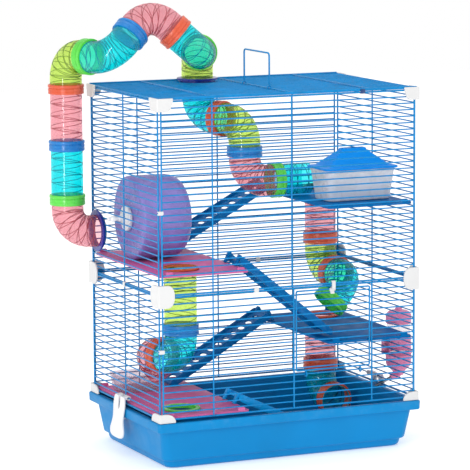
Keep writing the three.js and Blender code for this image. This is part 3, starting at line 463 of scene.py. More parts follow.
def arc_line(points, radius, steps=5):
    """A polyline with its inner corners rounded."""
    points = [Vector(p) for p in points]
    line = [points[0]]
    for before, here, after in zip(points, points[1:], points[2:]):
        a = here + (before - here).normalized() * radius
        b = here + (after - here).normalized() * radius
        for i in range(steps + 1):
            t = i / steps
            line.append(a * (1 - t) ** 2 + here * 2 * t * (1 - t) + b * t ** 2)
    line.append(points[-1])
    return line


# ---- dimensions shared with the CAD model

HALF_X, HALF_Y = 225, 148
FRONT_HALF_X = 221.4
POST, RAIL, RAIL_DEPTH = 2.8, 3, 4.7
Z_BASE, Z_MID, Z_TOP = 81, 278, 585
SEAM = 0.2  # from the middle plane to either wall half
LOWER_H = Z_MID - SEAM - Z_BASE
UPPER_H = Z_TOP - Z_MID - SEAM
UPPER_Z = Z_MID + SEAM
ROOF_Z = Z_TOP + 0.3
SIDE_Y = HALF_Y - RAIL_DEPTH - 0.5
BACK_UPRIGHTS = (-142, 1.8, 140)
FRONT_UPRIGHTS = (-135, 1.8)
ROOF_WIRES = (-135, 1.8, 140)
SIDE_UPRIGHT = 7
WIRE_R = 1.1
LOWER_GAPS, UPPER_GAPS, ROOF_GAPS = 18, 29, 27
OUTLET_Y, OUTLET_Z = 113, 350.5
ROOF_HOLE_X = -47.1
HOLE_R = 29.4


def rungs(height, gaps):
    pitch = (height - RAIL) / gaps
    return [RAIL / 2 + (i + 1) * pitch for i in range(gaps - 1)]


LOWER_RUNGS = rungs(LOWER_H, LOWER_GAPS)
HINGE_RUNG = LOWER_RUNGS[4]
DOOR_HINGE_Z = Z_BASE + HINGE_RUNG

# ---- wire walls

RUNG_END = 0.9  # how far a rung stops short of the wall's outline
POST_R, POST_END = 1.35, 1.4
RAIL_R, RAIL_END = 1.5, 1.2
INNER_RAIL_R, INNER_RAIL_IN = 1.2, RAIL_DEPTH - 1.25
UPRIGHT_R, UPRIGHT_END = 1.25, 1.5
UPRIGHT_INSIDE, UPRIGHT_OUTSIDE = 3.25, -0.95  # measured inwards from the wall's outer face
DOOR_POST_R = 1.3
HOLE_WIRE_R, HOLE_WIRE_OUT = 0.9, 0.6
NO_HOLE = (0, 0, 0)


def beside_hole(low, high, offset, middle, r):
    """Splits a wire from low to high where it would cross a round hole."""
    if abs(offset) >= r:
        return [(low, high)]
    half = sqrt(r ** 2 - offset ** 2)
    return [(low, middle - half), (middle + half, high)]


def wire_panel(name, width, height, gaps, corner, along, inward, up, uprights, keep=None, posts=(),
               hole=NO_HOLE, outside=False):
    """A wall: rungs at the outer face, uprights welded behind them and doubled rails at both ends.

    A hole is given by its place along and up the wall and its radius.
    """
    build = Build()
    corner = Vector(corner)
    hole_u, hole_v, hole_r = hole

    def at(u, n, v):
        return corner + along * u + inward * n + up * v

    def bar(start, end, radius, sides=8):
        build.rod([at(*start), at(*end)], radius, WIRE, sides)

    for v in rungs(height, gaps):
        for low, high in keep(v) if keep else [(RUNG_END, width - RUNG_END)]:
            for start, end in beside_hole(low, high, v - hole_v, hole_u, hole_r):
                bar((start, WIRE_R, v), (end, WIRE_R, v), WIRE_R)
    for u in (POST / 2, width - POST / 2):
        bar((u, POST_R, POST_END), (u, POST_R, height - POST_END), POST_R, 10)
    for v in (RAIL / 2, height - RAIL / 2):
        bar((RAIL_END, RAIL_R, v), (width - RAIL_END, RAIL_R, v), RAIL_R, 10)
        bar((RAIL_END, INNER_RAIL_IN, v), (width - RAIL_END, INNER_RAIL_IN, v), INNER_RAIL_R)
    depth = UPRIGHT_OUTSIDE if outside else UPRIGHT_INSIDE
    for u in uprights:
        for low, high in beside_hole(UPRIGHT_END, height - UPRIGHT_END, u - hole_u, hole_v, hole_r):
            bar((u, depth, low), (u, depth, high), UPRIGHT_R)
    for u in posts:
        bar((u, WIRE_R, POST_END), (u, WIRE_R, height - POST_END), DOOR_POST_R)
    if hole_r:
        r = hole_r + HOLE_WIRE_OUT
        loop = [at(hole_u + r * cos(a), WIRE_R, hole_v + r * sin(a)) for a in angles(48)]
        build.rod(loop, HOLE_WIRE_R, WIRE, closed=True)
    build.part(name, "wire", suffix="_wires", merge=WIRE_MERGE)


DOOR_L, DOOR_R = 5.8, 144.2
FRONT_WIDTH = 2 * FRONT_HALF_X


def doorway(v):
    """The runs of rung at height v that leave the doorway open."""
    if v <= HINGE_RUNG + 0.01:
        return [(RUNG_END, FRONT_WIDTH - RUNG_END)]
    return [(RUNG_END, DOOR_L + FRONT_HALF_X), (DOOR_R + FRONT_HALF_X, FRONT_WIDTH - RUNG_END)]


front_us = [x + FRONT_HALF_X for x in FRONT_UPRIGHTS]
back_us = [x + FRONT_HALF_X for x in BACK_UPRIGHTS]
side_us = [SIDE_Y + SIDE_UPRIGHT]
roof_us = [x + HALF_X for x in ROOF_WIRES]
door_posts = [DOOR_L + FRONT_HALF_X, DOOR_R + FRONT_HALF_X]
WALLS = {
    "front": (FRONT_WIDTH, -FRONT_HALF_X, -HALF_Y, X, Y, front_us),
    "back": (FRONT_WIDTH, -FRONT_HALF_X, HALF_Y, X, -Y, back_us),
    "left": (2 * SIDE_Y, -HALF_X, -SIDE_Y, Y, X, side_us),
    "right": (2 * SIDE_Y, HALF_X, -SIDE_Y, Y, -X, side_us),
}
HALVES = {"lower": (Z_BASE, LOWER_H, LOWER_GAPS), "upper": (UPPER_Z, UPPER_H, UPPER_GAPS)}
SPECIAL = {
    "panel_front_lower": {"uprights": front_us[:1], "keep": doorway, "posts": door_posts, "outside": True},
    "panel_front_upper": {"outside": True},
    "panel_left_upper": {"hole": (OUTLET_Y + SIDE_Y, OUTLET_Z - UPPER_Z, HOLE_R)},
}
for side, (width, x, y, along, inward, uprights) in WALLS.items():
    for half, (z, height, gaps) in HALVES.items():
        name = f"panel_{side}_{half}"
        options = {"uprights": uprights, **SPECIAL.get(name, {})}
        wire_panel(name, width, height, gaps, (x, y, z), along, inward, Z, **options)
wire_panel("panel_roof", 2 * HALF_X, 2 * HALF_Y, ROOF_GAPS, (-HALF_X, -HALF_Y, ROOF_Z), X, Z, Y, roof_us,
           hole=(ROOF_HOLE_X + HALF_X, OUTLET_Y + HALF_Y, HOLE_R))

# ---- front door and clip

DOOR_TOP = Z_MID - SEAM - RAIL - 2.7
DOOR_LOW = DOOR_HINGE_Z + 4.4
DOOR_X0, DOOR_X1 = DOOR_L + POST / 2 + 1.4, DOOR_R - POST / 2 - 1.4
WIRE_Y = -HALF_Y + WIRE_R
FRAME_IN, FRAME_R, FRAME_BEND = 1.4, 1.3, 3
BAR_CLEAR, BAR_R = 5, 1.05
DOOR_EYE_IN, DOOR_EYE_R = 18, 3.6

door = Build()
low, high = DOOR_LOW + FRAME_IN, DOOR_TOP - FRAME_IN
near, far = DOOR_X0 + FRAME_IN, DOOR_X1 - FRAME_IN
corners = [(near, low), (far, low), (far, high), (near, high), (near, low), (far, low)]
loop = arc_line([(x, WIRE_Y, z) for x, z in corners], FRAME_BEND)
door.rod(loop[1:-1], FRAME_R, WIRE, 10, closed=True)
for v in LOWER_RUNGS:
    z = Z_BASE + v
    if DOOR_LOW + BAR_CLEAR < z < DOOR_TOP - BAR_CLEAR:
        door.rod([(DOOR_X0 + 1, WIRE_Y, z), (DOOR_X1 - 1, WIRE_Y, z)], BAR_R, WIRE)
for x in (DOOR_X0 + DOOR_EYE_IN, DOOR_X1 - DOOR_EYE_IN):
    door.eye(x, WIRE_Y, DOOR_HINGE_Z, Y, DOOR_EYE_R, 20)
door.part("front_door", "wire", "door", "_wires", merge=WIRE_MERGE)

PIVOT_Z = DOOR_TOP - FRAME_IN
CLIP_HOOK = [
    (-3.5, -0.8), (-4, 2), (-4, 12.4), (-3.6, 13.4), (-0.2, 13.4), (0.6, 12.8), (0.6, 11.6),
    (0.2, 11.2), (-1.1, 11.2), (-1.6, 10.6), (-1.6, 3.4), (-2.4, 1),
]
CLIP_THUMB = [
    (-3.4, -1), (-6.4, -4.6), (-7.6, -6.4), (-8.5, -6.4), (-8.4, -5.4), (-7.4, -3.6), (-3.9, 1.5),
    (-2.4, 1.5),
]
CLIP_BARREL = [(2, 0), (3.3, 0), (3.6, 0.4), (3.6, 5.6), (3.3, 6), (2, 6)]
HOOK_X, THUMB_X, BARREL_X = 75, 70.5, 72
clip = Build()
clip.plate(CLIP_HOOK, 6, basis(Y, Z, X, (HOOK_X, WIRE_Y, PIVOT_Z)), WHITE, 0.4)
clip.plate(CLIP_THUMB, 7, basis(Y, Z, X, (THUMB_X, WIRE_Y, PIVOT_Z)), WHITE, 0.4)
clip.lathe(CLIP_BARREL, (BARREL_X, WIRE_Y, PIVOT_Z), X, WHITE, 24)
clip.part("door_clip", "white", "clip")

# ---- corner pieces

FLAP_T, FLAP_GAP, FLAP_BEND, FLAP_EDGE = 3, 0.3, 1.8, 0.8
FLAP_REACH_X, FLAP_REACH_Y = 25, 32
CORNERS = {"front_left": (-1, -1), "front_right": (1, -1), "back_left": (-1, 1), "back_right": (1, 1)}


# each row is how far a flap stops short of its full reach, and a height above the given level
JOINT_STEPS = [radians(-84 + 12 * i) for i in range(15)]
PROFILES = {
    "cap": (Z_TOP, [(10, -17), (7.5, -16), (4, -12), (1.5, -4), (0.3, 2.3), (1.2, 3.5)]),
    "joint": (Z_MID, [(13 - 13 * cos(a) ** 0.8, 18 * sin(a)) for a in JOINT_STEPS]),
    "foot": (77.6, [(0, 0), (0.3, 3.5), (2.5, 8), (6.5, 11.6), (12, 13.6), (16, 14)]),
}


def corner_piece(kind, place, sx, sy):
    """Two rounded flaps that meet at a corner of the cage, moulded as one."""
    build = Build()
    t, r, edge = FLAP_T, FLAP_BEND, FLAP_EDGE
    outer_x, outer_y = HALF_X + FLAP_GAP + t, HALF_Y + FLAP_GAP + t
    bend = [(r - r * sin(a), r - r * cos(a)) for a in (radians(15 * i) for i in range(7))]
    level, rows = PROFILES[kind]
    rings = []
    for short, height in rows:
        far_x, far_y = FLAP_REACH_X + t - short, FLAP_REACH_Y + t - short
        plan = [(far_x, t), (far_x, edge), (far_x - edge, 0), *bend, (0, far_y - edge), (edge, far_y),
                (t, far_y), (t, t)]
        rings.append([(sx * (outer_x - a), sy * (outer_y - b), level + height) for a, b in plan])
    build.grid(rings, WHITE, caps=True)
    build.part(f"{kind}_{place}", "white", sharp=30, bevel=0.45)


for place, (sx, sy) in CORNERS.items():
    for kind in PROFILES:
        corner_piece(kind, place, sx, sy)

# ---- tray

RIM_X, RIM_Y = 231, 154
TRAY_ROWS = [
    (40, 0.6, 12), (34, 0.5, 12), (33.4, 0, 12), (28.5, 0, 14), (26.2, 0.8, 14.5), (24.4, 2.6, 15),
    (23, 6, 15.6), (22.2, 10, 16), (21.4, 11.5, 16), (18, 13.2, 16), (16.8, 14.2, 16), (16.2, 16.4, 16),
    (10, 59.6, 13), (9.4, 61.3, 12.6), (7.6, 62, 11), (1.7, 62, 7), (0.8, 62.5, 6.2), (0.45, 63.6, 6),
    (0.05, 74.8, 6), (0.5, 76.2, 6), (1.6, 76.8, 6), (9.8, 76.8, 9), (10.8, 76.3, 9), (11.4, 75, 9.5),
    (12.3, 62, 12), (18.6, 19.6, 14), (20.2, 16.6, 14), (24, 13.6, 14), (25.4, 11.6, 14),
    (28, 4.6, 12.4), (29.8, 3.2, 12), (40, 3, 10),
]
tray = Build()
tray.grid(layers((-RIM_X, RIM_X, -RIM_Y, RIM_Y), 0, TRAY_ROWS, 10), TRAY, caps=True)
tray.part("tray", "tray_blue", sharp=50)

# ---- tray latches

LATCH_Y, LATCH_TOP_X, LATCH_TOP_Z, LATCH_LEAN = SIDE_UPRIGHT, 230, 98, 0.1056
LATCH_T = 3
RUNG_X, RUNG_Z = HALF_X - WIRE_R, Z_BASE + LOWER_RUNGS[0]
LATCH_HALF = [
    (2.6, 75), (3.7, 78), (3.7, 94), (4.4, 95.5), (17, 95.5), (19, 94.8), (20.5, 92), (22.5, 84),
    (22.5, 76), (20.6, 66), (20.2, 58), (23, 50), (27, 42), (28, 37), (26, 31.6), (21, 28.6), (12, 27.1),
]
LATCH_EYE = [(1.95, 0), (3.2, 0), (3.6, 0.4), (3.6, 14.4), (3.2, 14.8), (1.95, 14.8)]
LATCH_NECK = [(2.2, -1.8), (7.4, -1.8), (7.4, 2.2), (1.4, 3.3), (1.8, 1.2)]
LATCH_TONGUE = [(227, 58.6), (227.6, 58), (235.4, 58), (235.4, 60.8), (228, 60.8), (227, 60)]
EYE_APART, EYE_LENGTH, TONGUE_WIDTH = 11.1, 14.8, 20


def cut_corners(points):
    """Cuts the corners of a closed outline so that it reads as a curve."""
    out = []
    for (ax, ay), (bx, by) in zip(points, points[1:] + points[:1]):
        for k in (0.25, 0.75):
            out.append((ax * (1 - k) + bx * k, ay * (1 - k) + by * k))
    return out


def tray_latch(name, side, body):
    """A leaning lever that hangs from the lowest rung by two eyes and catches under the rim."""
    build = Build()
    mirrored = [(-u, v) for u, v in reversed(LATCH_HALF)]
    outline = cut_corners([(0, 73.5), *LATCH_HALF, (0, 27), *mirrored])
    lean = Vector((-side * LATCH_LEAN, 0, 1)).normalized()
    out = Vector((side, 0, LATCH_LEAN)).normalized()
    top = Vector((side * LATCH_TOP_X, LATCH_Y, LATCH_TOP_Z))
    foot = top - lean * LATCH_TOP_Z + out * (LATCH_T / 2)
    # the latch's plate, necks and tongue take the brighter, painted-lit copy of the white plastic; the eyes
    # keep the plain white
    build.plate(outline, LATCH_T, basis(Y * side, lean, out, foot), WHITE_PAINTED_LIT, 0.8)
    for hand in (-1, 1):
        y = LATCH_Y + hand * EYE_APART
        start = (side * RUNG_X, y - EYE_LENGTH / 2, RUNG_Z)
        build.lathe(LATCH_EYE, start, Y, WHITE, 24)
        plane = basis(X * side, Z, -Y * side, (side * RUNG_X, y, RUNG_Z))
        build.plate(LATCH_NECK, EYE_LENGTH, plane, WHITE_PAINTED_LIT, 0.3)
    plane = basis(X * side, Z, -Y * side, (0, LATCH_Y, 0))
    build.plate(LATCH_TONGUE, TONGUE_WIDTH, plane, WHITE_PAINTED_LIT, 0.4)
    build.part(name, "white", body)


tray_latch("latch_left", -1, "left_latch")
tray_latch("latch_right", 1, "right_latch")

# ---- carry handle

HANDLE_X, HANDLE_Z = 1.8, 588.85
HANDLE_LOW, HANDLE_HIGH, HANDLE_R, HANDLE_BEND = 3.2, 56, 1.4, 6
HANDLE_EYE_R = 3.4
HANDLE_FEET = (7, 16)  # the gaps between roof rungs that hold the eyes
roof_pitch = (2 * HALF_Y - RAIL) / ROOF_GAPS
feet = [-HALF_Y + RAIL / 2 + (k + 0.5) * roof_pitch for k in HANDLE_FEET]
low, high = HANDLE_Z + HANDLE_LOW, HANDLE_Z + HANDLE_HIGH
places = ((feet[0], low), (feet[0], high), (feet[1], high), (feet[1], low))
handle = Build()
handle.rod(arc_line([(HANDLE_X, y, z) for y, z in places], HANDLE_BEND, 7), HANDLE_R, WIRE, 12)
for y in feet:
    handle.eye(HANDLE_X, y, HANDLE_Z, X, HANDLE_EYE_R, 24, 10)
handle.part("carry_handle", "wire", "handle", "_wire", merge=WIRE_MERGE)

# ---- platforms

PLATFORM_WALL, PLATFORM_X, PLATFORM_HALF_Y, PLATFORM_T = 219.6, 150, 142.4, 4
PLATFORM_CORNER_R, PLATFORM_HOLE_R = 6, 27.6
COLUMN_X, COLUMN_Y = 165, 88
Z_LOW_LEFT, Z_MID_RIGHT, Z_UP_LEFT, Z_UP_RIGHT = 85.5, 184, 310.5, 402.5
TAB = [(-6, -1), (6, -1), (6, 3.4), (5.2, 4.6), (4, 5), (-4, 5), (-5.2, 4.6), (-6, 3.4)]
TAB_T, TAB_IN_X, TAB_IN_Y = 3, 14, 1.6
COLLAR = [
    (23.5, -3.6), (24, -4), (27.2, -4), (27.6, -3.6), (27.9, -0.2), (28.3, 0.2), (30, 0.2),
    (30.6, 0.7), (30.6, 2.2), (30, 2.9), (24.2, 3), (23.5, 2.4),
]


def platform(name, side, top, material, slot):
    """A moulded plate with a round hole and four clip tabs."""
    build = Build()
    x0 = -PLATFORM_WALL if side < 0 else PLATFORM_WALL - PLATFORM_X
    x1 = x0 + PLATFORM_X
    outline = rounded(x0, x1, -PLATFORM_HALF_Y, PLATFORM_HALF_Y, PLATFORM_CORNER_R)
    hole = oval(side * COLUMN_X, side * COLUMN_Y, PLATFORM_HOLE_R, PLATFORM_HOLE_R, 56)
    build.plate(outline, PLATFORM_T, raised(top - PLATFORM_T / 2), material, 0.6, [hole])
    for end in (-1, 1):
        for x in (x0 + TAB_IN_X, x1 - TAB_IN_X):
            plane = basis(X, Z, -Y, (x, end * (PLATFORM_HALF_Y - TAB_IN_Y), top))
            build.plate(TAB, TAB_T, plane, material)
    build.part(name, slot)


platform("platform_upper_left", -1, Z_UP_LEFT, PINK_FLOOR, "platform_pink")
platform("platform_upper_right", 1, Z_UP_RIGHT, BLUE_FLOOR, "platform_blue")
platform("platform_middle_right", 1, Z_MID_RIGHT, BLUE_FLOOR, "platform_blue")
platform("platform_lower_left", -1, Z_LOW_LEFT, PINK_FLOOR, "platform_pink")

collar = Build()
collar.lathe(COLLAR, (-COLUMN_X, -COLUMN_Y, Z_LOW_LEFT), Z, RINGS["green"], 64)
collar.object("collar_lower_left", "base", slot="tube_green")

# ---- ramps

RAMP_LENGTH, RAMP_HALF, RAMP_T, RAMP_WALL, RAMP_RISE, RAMP_LIFT = 210, 28, 3, 2.4, 4.5, 13
SLOT_START, SLOT_PITCH, SLOT_COUNT, SLOT_RX, SLOT_RY = 17, 16, 12, 4.2, 12
RAMP_END, RAMP_SIDE = 0.2, 0.5  # how far the floor stays inside the ramp's outline
RIB_HALF, RIB_R = 24.8, 0.5
HOOK_Y, HOOK_WIDTH = 20, 8
WIRE_HOOK_U, WIRE_HOOK_Y, WIRE_HOOK_R, WIRE_HOOK_BEND = 16, 12, 0.7, 1.4
FOOT_RISE = 6  # a ramp's foot stands this far above the platform it reaches
RAMP_HOOK = [
    (-6, 8.6), (-4.2, 14.4), (-2.6, 17), (-1.2, 17.9), (0, 18), (1, 17.4), (7.9, 2.6), (8.3, 1.2),
    (7.9, 0.5), (5.2, 0.5), (4.6, 1.6), (-0.4, 10.8), (-1.2, 10.9), (-2, 8.4),
]
WIRE_CURL = [(-2, -3), (1, -9), (5, -9.5), (8, -5)]


def ramp(name, body, hook_x, platform_top, foot_z, direction, y, material=RAMP, wires=False):
    """A slotted floor between two side walls, hung over a platform's edge by two hooks."""
    build = Build()
    hook_z = platform_top + RAMP_LIFT
    angle = asin((hook_z - foot_z) / RAMP_LENGTH)
    down = Vector((direction * cos(angle), 0, -sin(angle)))
    across = Vector((0, direction, 0))
    m = basis(down, across, down.cross(across), (hook_x, y, hook_z))
    far, half = RAMP_LENGTH - RAMP_END, RAMP_HALF - RAMP_SIDE
    slots = [oval(SLOT_START + i * SLOT_PITCH, 0, SLOT_RX, SLOT_RY, 28) for i in range(SLOT_COUNT)]
    build.plate(rounded(RAMP_END, far, -half, half, 3), RAMP_T, m @ raised(-RAMP_T / 2), material, 0.6, slots)
    low, end = -RAMP_T - RAMP_RISE, RAMP_LENGTH
    wall = [(RAMP_END, -RAMP_T), (2, -5), (6, low), (end - 10, low), (end - 3, -5.6), (far, -RAMP_T),
            (far, 0), (end - 1.6, 2.4), (end - 5, RAMP_RISE), (5, RAMP_RISE), (1.6, 3), (RAMP_END, 1)]
    for side in (-1, 1):
        middle = side * (RAMP_HALF - RAMP_WALL / 2)
        build.plate(wall, RAMP_WALL, m @ basis(X, Z, -Y, (0, middle, 0)), material)
    for side in (-1, 1):
        plane = basis(X * -direction, Z, Y * direction, (hook_x, y + side * HOOK_Y, platform_top))
        build.plate(RAMP_HOOK, HOOK_WIDTH, plane, material)
    for i in range(SLOT_COUNT - 1):
        u = SLOT_START + (i + 0.5) * SLOT_PITCH
        build.rod([m @ Vector((u, -RIB_HALF, 0)), m @ Vector((u, RIB_HALF, 0))], RIB_R, material, 6)
    build.part(name, "ramp_blue", body)
    if wires:
        hooks = Build()
        for side in (-1, 1):
            start = m @ Vector((WIRE_HOOK_U, side * WIRE_HOOK_Y, -RAMP_T))
            curl = [start + Vector((direction * x, 0, z)) for x, z in WIRE_CURL]
            hooks.rod(arc_line([start, *curl], WIRE_HOOK_BEND, 3), WIRE_HOOK_R, WIRE)
        hooks.object(name + "_wire_hooks", body, slot="wire", merge=WIRE_MERGE)


HOOK_X = PLATFORM_WALL - PLATFORM_X - 3
ramp("ramp_top", "top_ramp", HOOK_X, Z_UP_RIGHT, Z_UP_LEFT + FOOT_RISE, -1, 103, wires=True)
ramp("ramp_front", "front_ramp", -HOOK_X, Z_UP_LEFT, Z_MID_RIGHT + FOOT_RISE, 1, -76.5)
ramp("ramp_back", "back_ramp", HOOK_X, Z_MID_RIGHT, Z_LOW_LEFT + FOOT_RISE, -1, 103, wires=True)
# the floor ramp takes the lighter, painted-lit copy of the ramp blue
ramp("ramp_floor", "floor_ramp", -HOOK_X, Z_LOW_LEFT, 7.5, 1, -68, RAMP_PAINTED_LIT)

# ---- wheel

WHEEL_X, WHEEL_Y, WHEEL_Z = -202, 37, 379.221
DRUM = [
    (5, 0), (20, 0), (22, 0.5), (24, 0), (61, 0), (64.4, 0.5), (66.8, 1.8), (67.8, 3.8), (68, 6),
    (68, 62), (67.7, 66), (66.4, 72), (64.3, 78), (61.6, 82), (58.6, 85), (55.4, 87.3), (52, 88),
    (43.5, 88), (42.3, 87.6), (42, 86.8), (42.3, 85.8), (52, 85.4), (55.4, 83.9), (59, 80.6),
    (62, 76.6), (64.4, 70), (65.3, 64), (65.4, 9), (64.4, 5.6), (62.4, 3.4), (60, 2.6), (6, 2.6),
    (5, 2.4),
]
TREADS, TREAD_FROM, TREAD_TO, TREAD_CIRCLE, TREAD_R = 36, 8, 64, 65.3, 0.8
SPOKES, SPOKE_FROM, SPOKE_TO, SPOKE_R = 8, 24, 59, 0.9
AXLE = [
    (0, 0), (2.4, 0), (3, 0.6), (3, 5), (4.6, 6.6), (5, 7.6), (5, 11.8), (4.6, 12.2), (3.9, 12.4),
    (3.9, 18.4), (4.6, 18.6), (5, 19), (5, 28.7), (17.6, 28.7), (19.6, 29.2), (20.5, 30.4),
    (20.5, 33.8), (19.8, 35), (18, 35.5), (3.9, 35.5), (3.9, 39.2), (7.6, 39.2), (8.5, 40),
    (8.5, 42.2), (7.4, 43.4), (4, 44), (0, 44),
]


def on_wheel(x, r, a):
    return (WHEEL_X + x, WHEEL_Y + r * cos(a), WHEEL_Z + r * sin(a))


wheel = Build()
wheel.lathe(DRUM, (WHEEL_X, WHEEL_Y, WHEEL_Z), X, WHEEL, 96)
for a in angles(TREADS):
    tread = [on_wheel(TREAD_FROM, TREAD_CIRCLE, a), on_wheel(TREAD_TO, TREAD_CIRCLE, a)]
    wheel.rod(tread, TREAD_R, WHEEL, 6)
for a in angles(SPOKES, 0.5):
    wheel.rod([on_wheel(SPOKE_R, SPOKE_FROM, a), on_wheel(SPOKE_R, SPOKE_TO, a)], SPOKE_R, WHEEL)
wheel.part("wheel_drum", "wheel", "wheel")

axle = Build()
# the axle takes the brighter, painted-lit copy of the white plastic
axle.lathe(AXLE, (-HALF_X - 13, WHEEL_Y, WHEEL_Z), X, WHITE_PAINTED_LIT, 40)
axle.part("wheel_axle", "white")

# ---- nest box

NX0, NX1, NY0, NY1 = 86, 212, -104, -30
NEST_FLOOR = Z_UP_RIGHT + 0.4
NEST_TOP = NEST_FLOOR + 51
EAVES = 3  # how far the roof reaches past the tub
TUB_ROWS = [
    (12, 0, 8), (8.4, 0.2, 10), (7.2, 1, 11), (6.4, 3, 11.4), (1.2, 46, 12), (0.9, 47, 12),
    (0, 47.6, 12), (0, 50.4, 12), (0.5, 51, 12), (1.7, 51, 11.4), (2.2, 50.4, 11), (2.9, 46, 11),
    (8.2, 4.6, 10), (9.4, 2.8, 9.6), (12, 2.4, 8),
]
ROOF_ROWS = [
    (1.2, 1.2, 0, 9.4), (0.3, 0.3, 0.4, 9.8), (0, 0, 1.2, 10), (0, 0, 2.4, 10), (0.6, 0.6, 3.2, 9.6),
    (2, 2, 3.5, 9), (11.5, 8.8, 4.6, 6.6), (13, 10, 5.5, 6), (14, 10.8, 6.6, 5.6), (43, 32.2, 28, 2.2),
    (44, 33, 30, 2), (44.4, 33.4, 31.4, 2), (45.6, 34.6, 32, 1.4), (45.6, 34.6, 29, 1),
    (17, 13.6, 5, 4.6), (15.5, 12.5, 3.4, 5), (15.2, 12.2, 0, 5),
]

nest = Build()
nest.grid(layers((NX0, NX1, NY0, NY1), NEST_FLOOR, TUB_ROWS, 10), NEST, caps=True)
nest.part("nest_tub", "nest_grey", sharp=55)

roof = Build()
roof_box = (NX0 - EAVES, NX1 + EAVES, NY0 - EAVES, NY1 + EAVES)
roof_rings = layers(roof_box, NEST_TOP + 0.3, ROOF_ROWS, 6)
roof.grid(roof_rings, ROOF_BLUE)
roof.grid([roof_rings[-1], roof_rings[0]], ROOF_BLUE)
roof.part("nest_roof", "roof_blue", "nest_lid", sharp=50)

# ---- bottle, bracket, dish

BX, BY = 250, -35
CAP = [
    (0, 211.5), (3.4, 211.2), (5.4, 210), (6.2, 208.2), (7.2, 206.9), (10, 206.6), (14, 205.8),
    (17.6, 203.8), (20.2, 201), (21.4, 198), (21.5, 195), (21.5, 185.6), (20.9, 184.8), (19.6, 184.3),
    (0, 184.3),
]
UPPER_WINDOW = [(0, 184.2), (19.4, 184.2), (19.4, 164.6), (0, 164.6)]
RIB_TOP, BOTTLE_RIB_PITCH = 160, 4.8
RIB_SHAPE = [(21.5, 1.6), (20.9, 0.9), (20.9, -0.3), (21.5, -1)]
RIBS = [(r, RIB_TOP - k * BOTTLE_RIB_PITCH + h) for k in range(4) for r, h in RIB_SHAPE]
BAND = [(0, 164.4), (19.6, 164.4), (20.9, 164), (21.5, 163.2), *RIBS, (21.5, 142), (20.9, 141.2),
        (19.2, 140.8), (0, 140.8)]
LOWER_WINDOW = [(0, 140.7), (18.9, 140.7), (18.9, 133.4), (0, 133.4)]
NECK = [
    (0, 133.3), (19.2, 133.3), (20.9, 132.8), (21.5, 132), (21.3, 120), (20.7, 116), (19, 112.4),
    (16, 109.2), (12.6, 106), (10, 103.4), (9, 100.6), (8.4, 98), (7.4, 97), (0, 97),
]
SPOUT_SOCKET = [(0, 0), (6.4, 0), (6.3, 6), (5.6, 13), (5, 14.6), (3.4, 16), (0, 16)]

bottle = Build()
for profile, material in ((CAP, BOTTLE_PINK), (UPPER_WINDOW, BOTTLE_CLEAR), (BAND, BOTTLE_PINK),
                          (LOWER_WINDOW, BOTTLE_CLEAR), (NECK, BOTTLE_PINK)):
    bottle.lathe(profile, (BX, BY, 0), Z, material)
start, tip = Vector((BX, BY, 99.5)), Vector((207, BY, 81.6))
way = (tip - start).normalized()
reach = (tip - start).length
bottle.lathe(SPOUT_SOCKET, start, way, BOTTLE_PINK, 32)
spout = [(0, 15), (2.6, 15), (2.6, reach - 2), (2.3, reach - 0.7), (1.6, reach), (0, reach)]
bottle.lathe(spout, start, way, STEEL, 24)
bottle.part("bottle", "bottle_pink")

HOLDER_RING = [
    (19.8, 0.4), (20.2, 0), (22.2, 0), (22.6, 0.4), (22.6, 3.8), (22.2, 4.2), (20.2, 4.2), (19.8, 3.8),
]
HOLDER_PLATE = [(-15, 133.4), (15, 133.4), (15, 163), (13, 165), (-13, 165), (-15, 163)]
HOLDER_ARM = [(-0.6, -7), (4, -7), (4.4, -5), (4.4, 5), (4, 7), (-0.6, 7)]
holder = Build()
holder.lathe(HOLDER_RING, (BX, BY, 134), Z, BOTTLE_PINK)
holder.plate(HOLDER_PLATE, 2.6, basis(Y, Z, X, (HALF_X + 1.7, BY, 0)), BOTTLE_PINK, 0.6)
holder.plate(HOLDER_ARM, 4.2, Matrix.Translation((HALF_X + 1.4, BY, 136.1)), BOTTLE_PINK)
for z in (145, 150, 155, 160):
    holder.rod([(HALF_X + 3, BY - 10, z), (HALF_X + 3, BY + 10, z)], 0.9, BOTTLE_PINK)
holder.part("bottle_bracket", "bottle_pink")

DISH_BOX, DISH_Z = (-212, -130, 56, 118), Z_LOW_LEFT + 0.4
DISH_ROWS = [
    (12, 0, 9), (7.4, 0.1, 11), (6, 1, 12), (5.2, 3, 12.4), (1.7, 25, 14), (1.2, 26, 14),
    (0.2, 27, 14.8), (0, 28, 15), (0.5, 28.8, 15), (1.6, 29, 14), (3.2, 29, 13), (4.2, 28.2, 12.6),
    (7.6, 5, 10.6), (8.8, 3, 10), (12, 2.5, 9),
]
dish = Build()
dish.grid(layers(DISH_BOX, DISH_Z, DISH_ROWS, 8), GLASSY, caps=True)
dish.part("food_dish", "clear", sharp=55)

# ---- tubes

TUBE_R, BORE_R, TUBE_SIDES, TUBE_EDGE = 26, 23.4, 40, 0.5
ELBOW_R, ELBOW_STEP, STRAIGHT_STEP = 38, 3.2, 4
LEG, RING_HALF, JOIN = 55.5, 8.5, 0.3
FULL, REST = LEG + RING_HALF, LEG - RING_HALF - JOIN
LINE_R, LINE_SINK, LINE_POINTS = 0.6, 0.56, 26
ELBOW_WIND, STRAIGHT_WIND = (14, 1), (20, 5)  # the length of a line's turn and where it starts
RING_CORE, RING_WIDTH, RING_SIDES = 24.8, 2 * RING_HALF - 0.1, 56
COUPLING = [
    (28.4, 0), (29, 0.5), (29.3, 1.2), (29.3, 4.2), (28.9, 4.9), (28.1, 5.2), (28.1, 6), (28.8, 6.4),
    (29, 7), (29, 10.6), (28.6, 11), (28.6, 11.6), (29, 12), (29.1, 15.8), (28.7, 16.6),
]
TUBE_SLOTS = {"cyan": "tube_cyan", "pink": "tube_pink", "lime": "tube_green"}


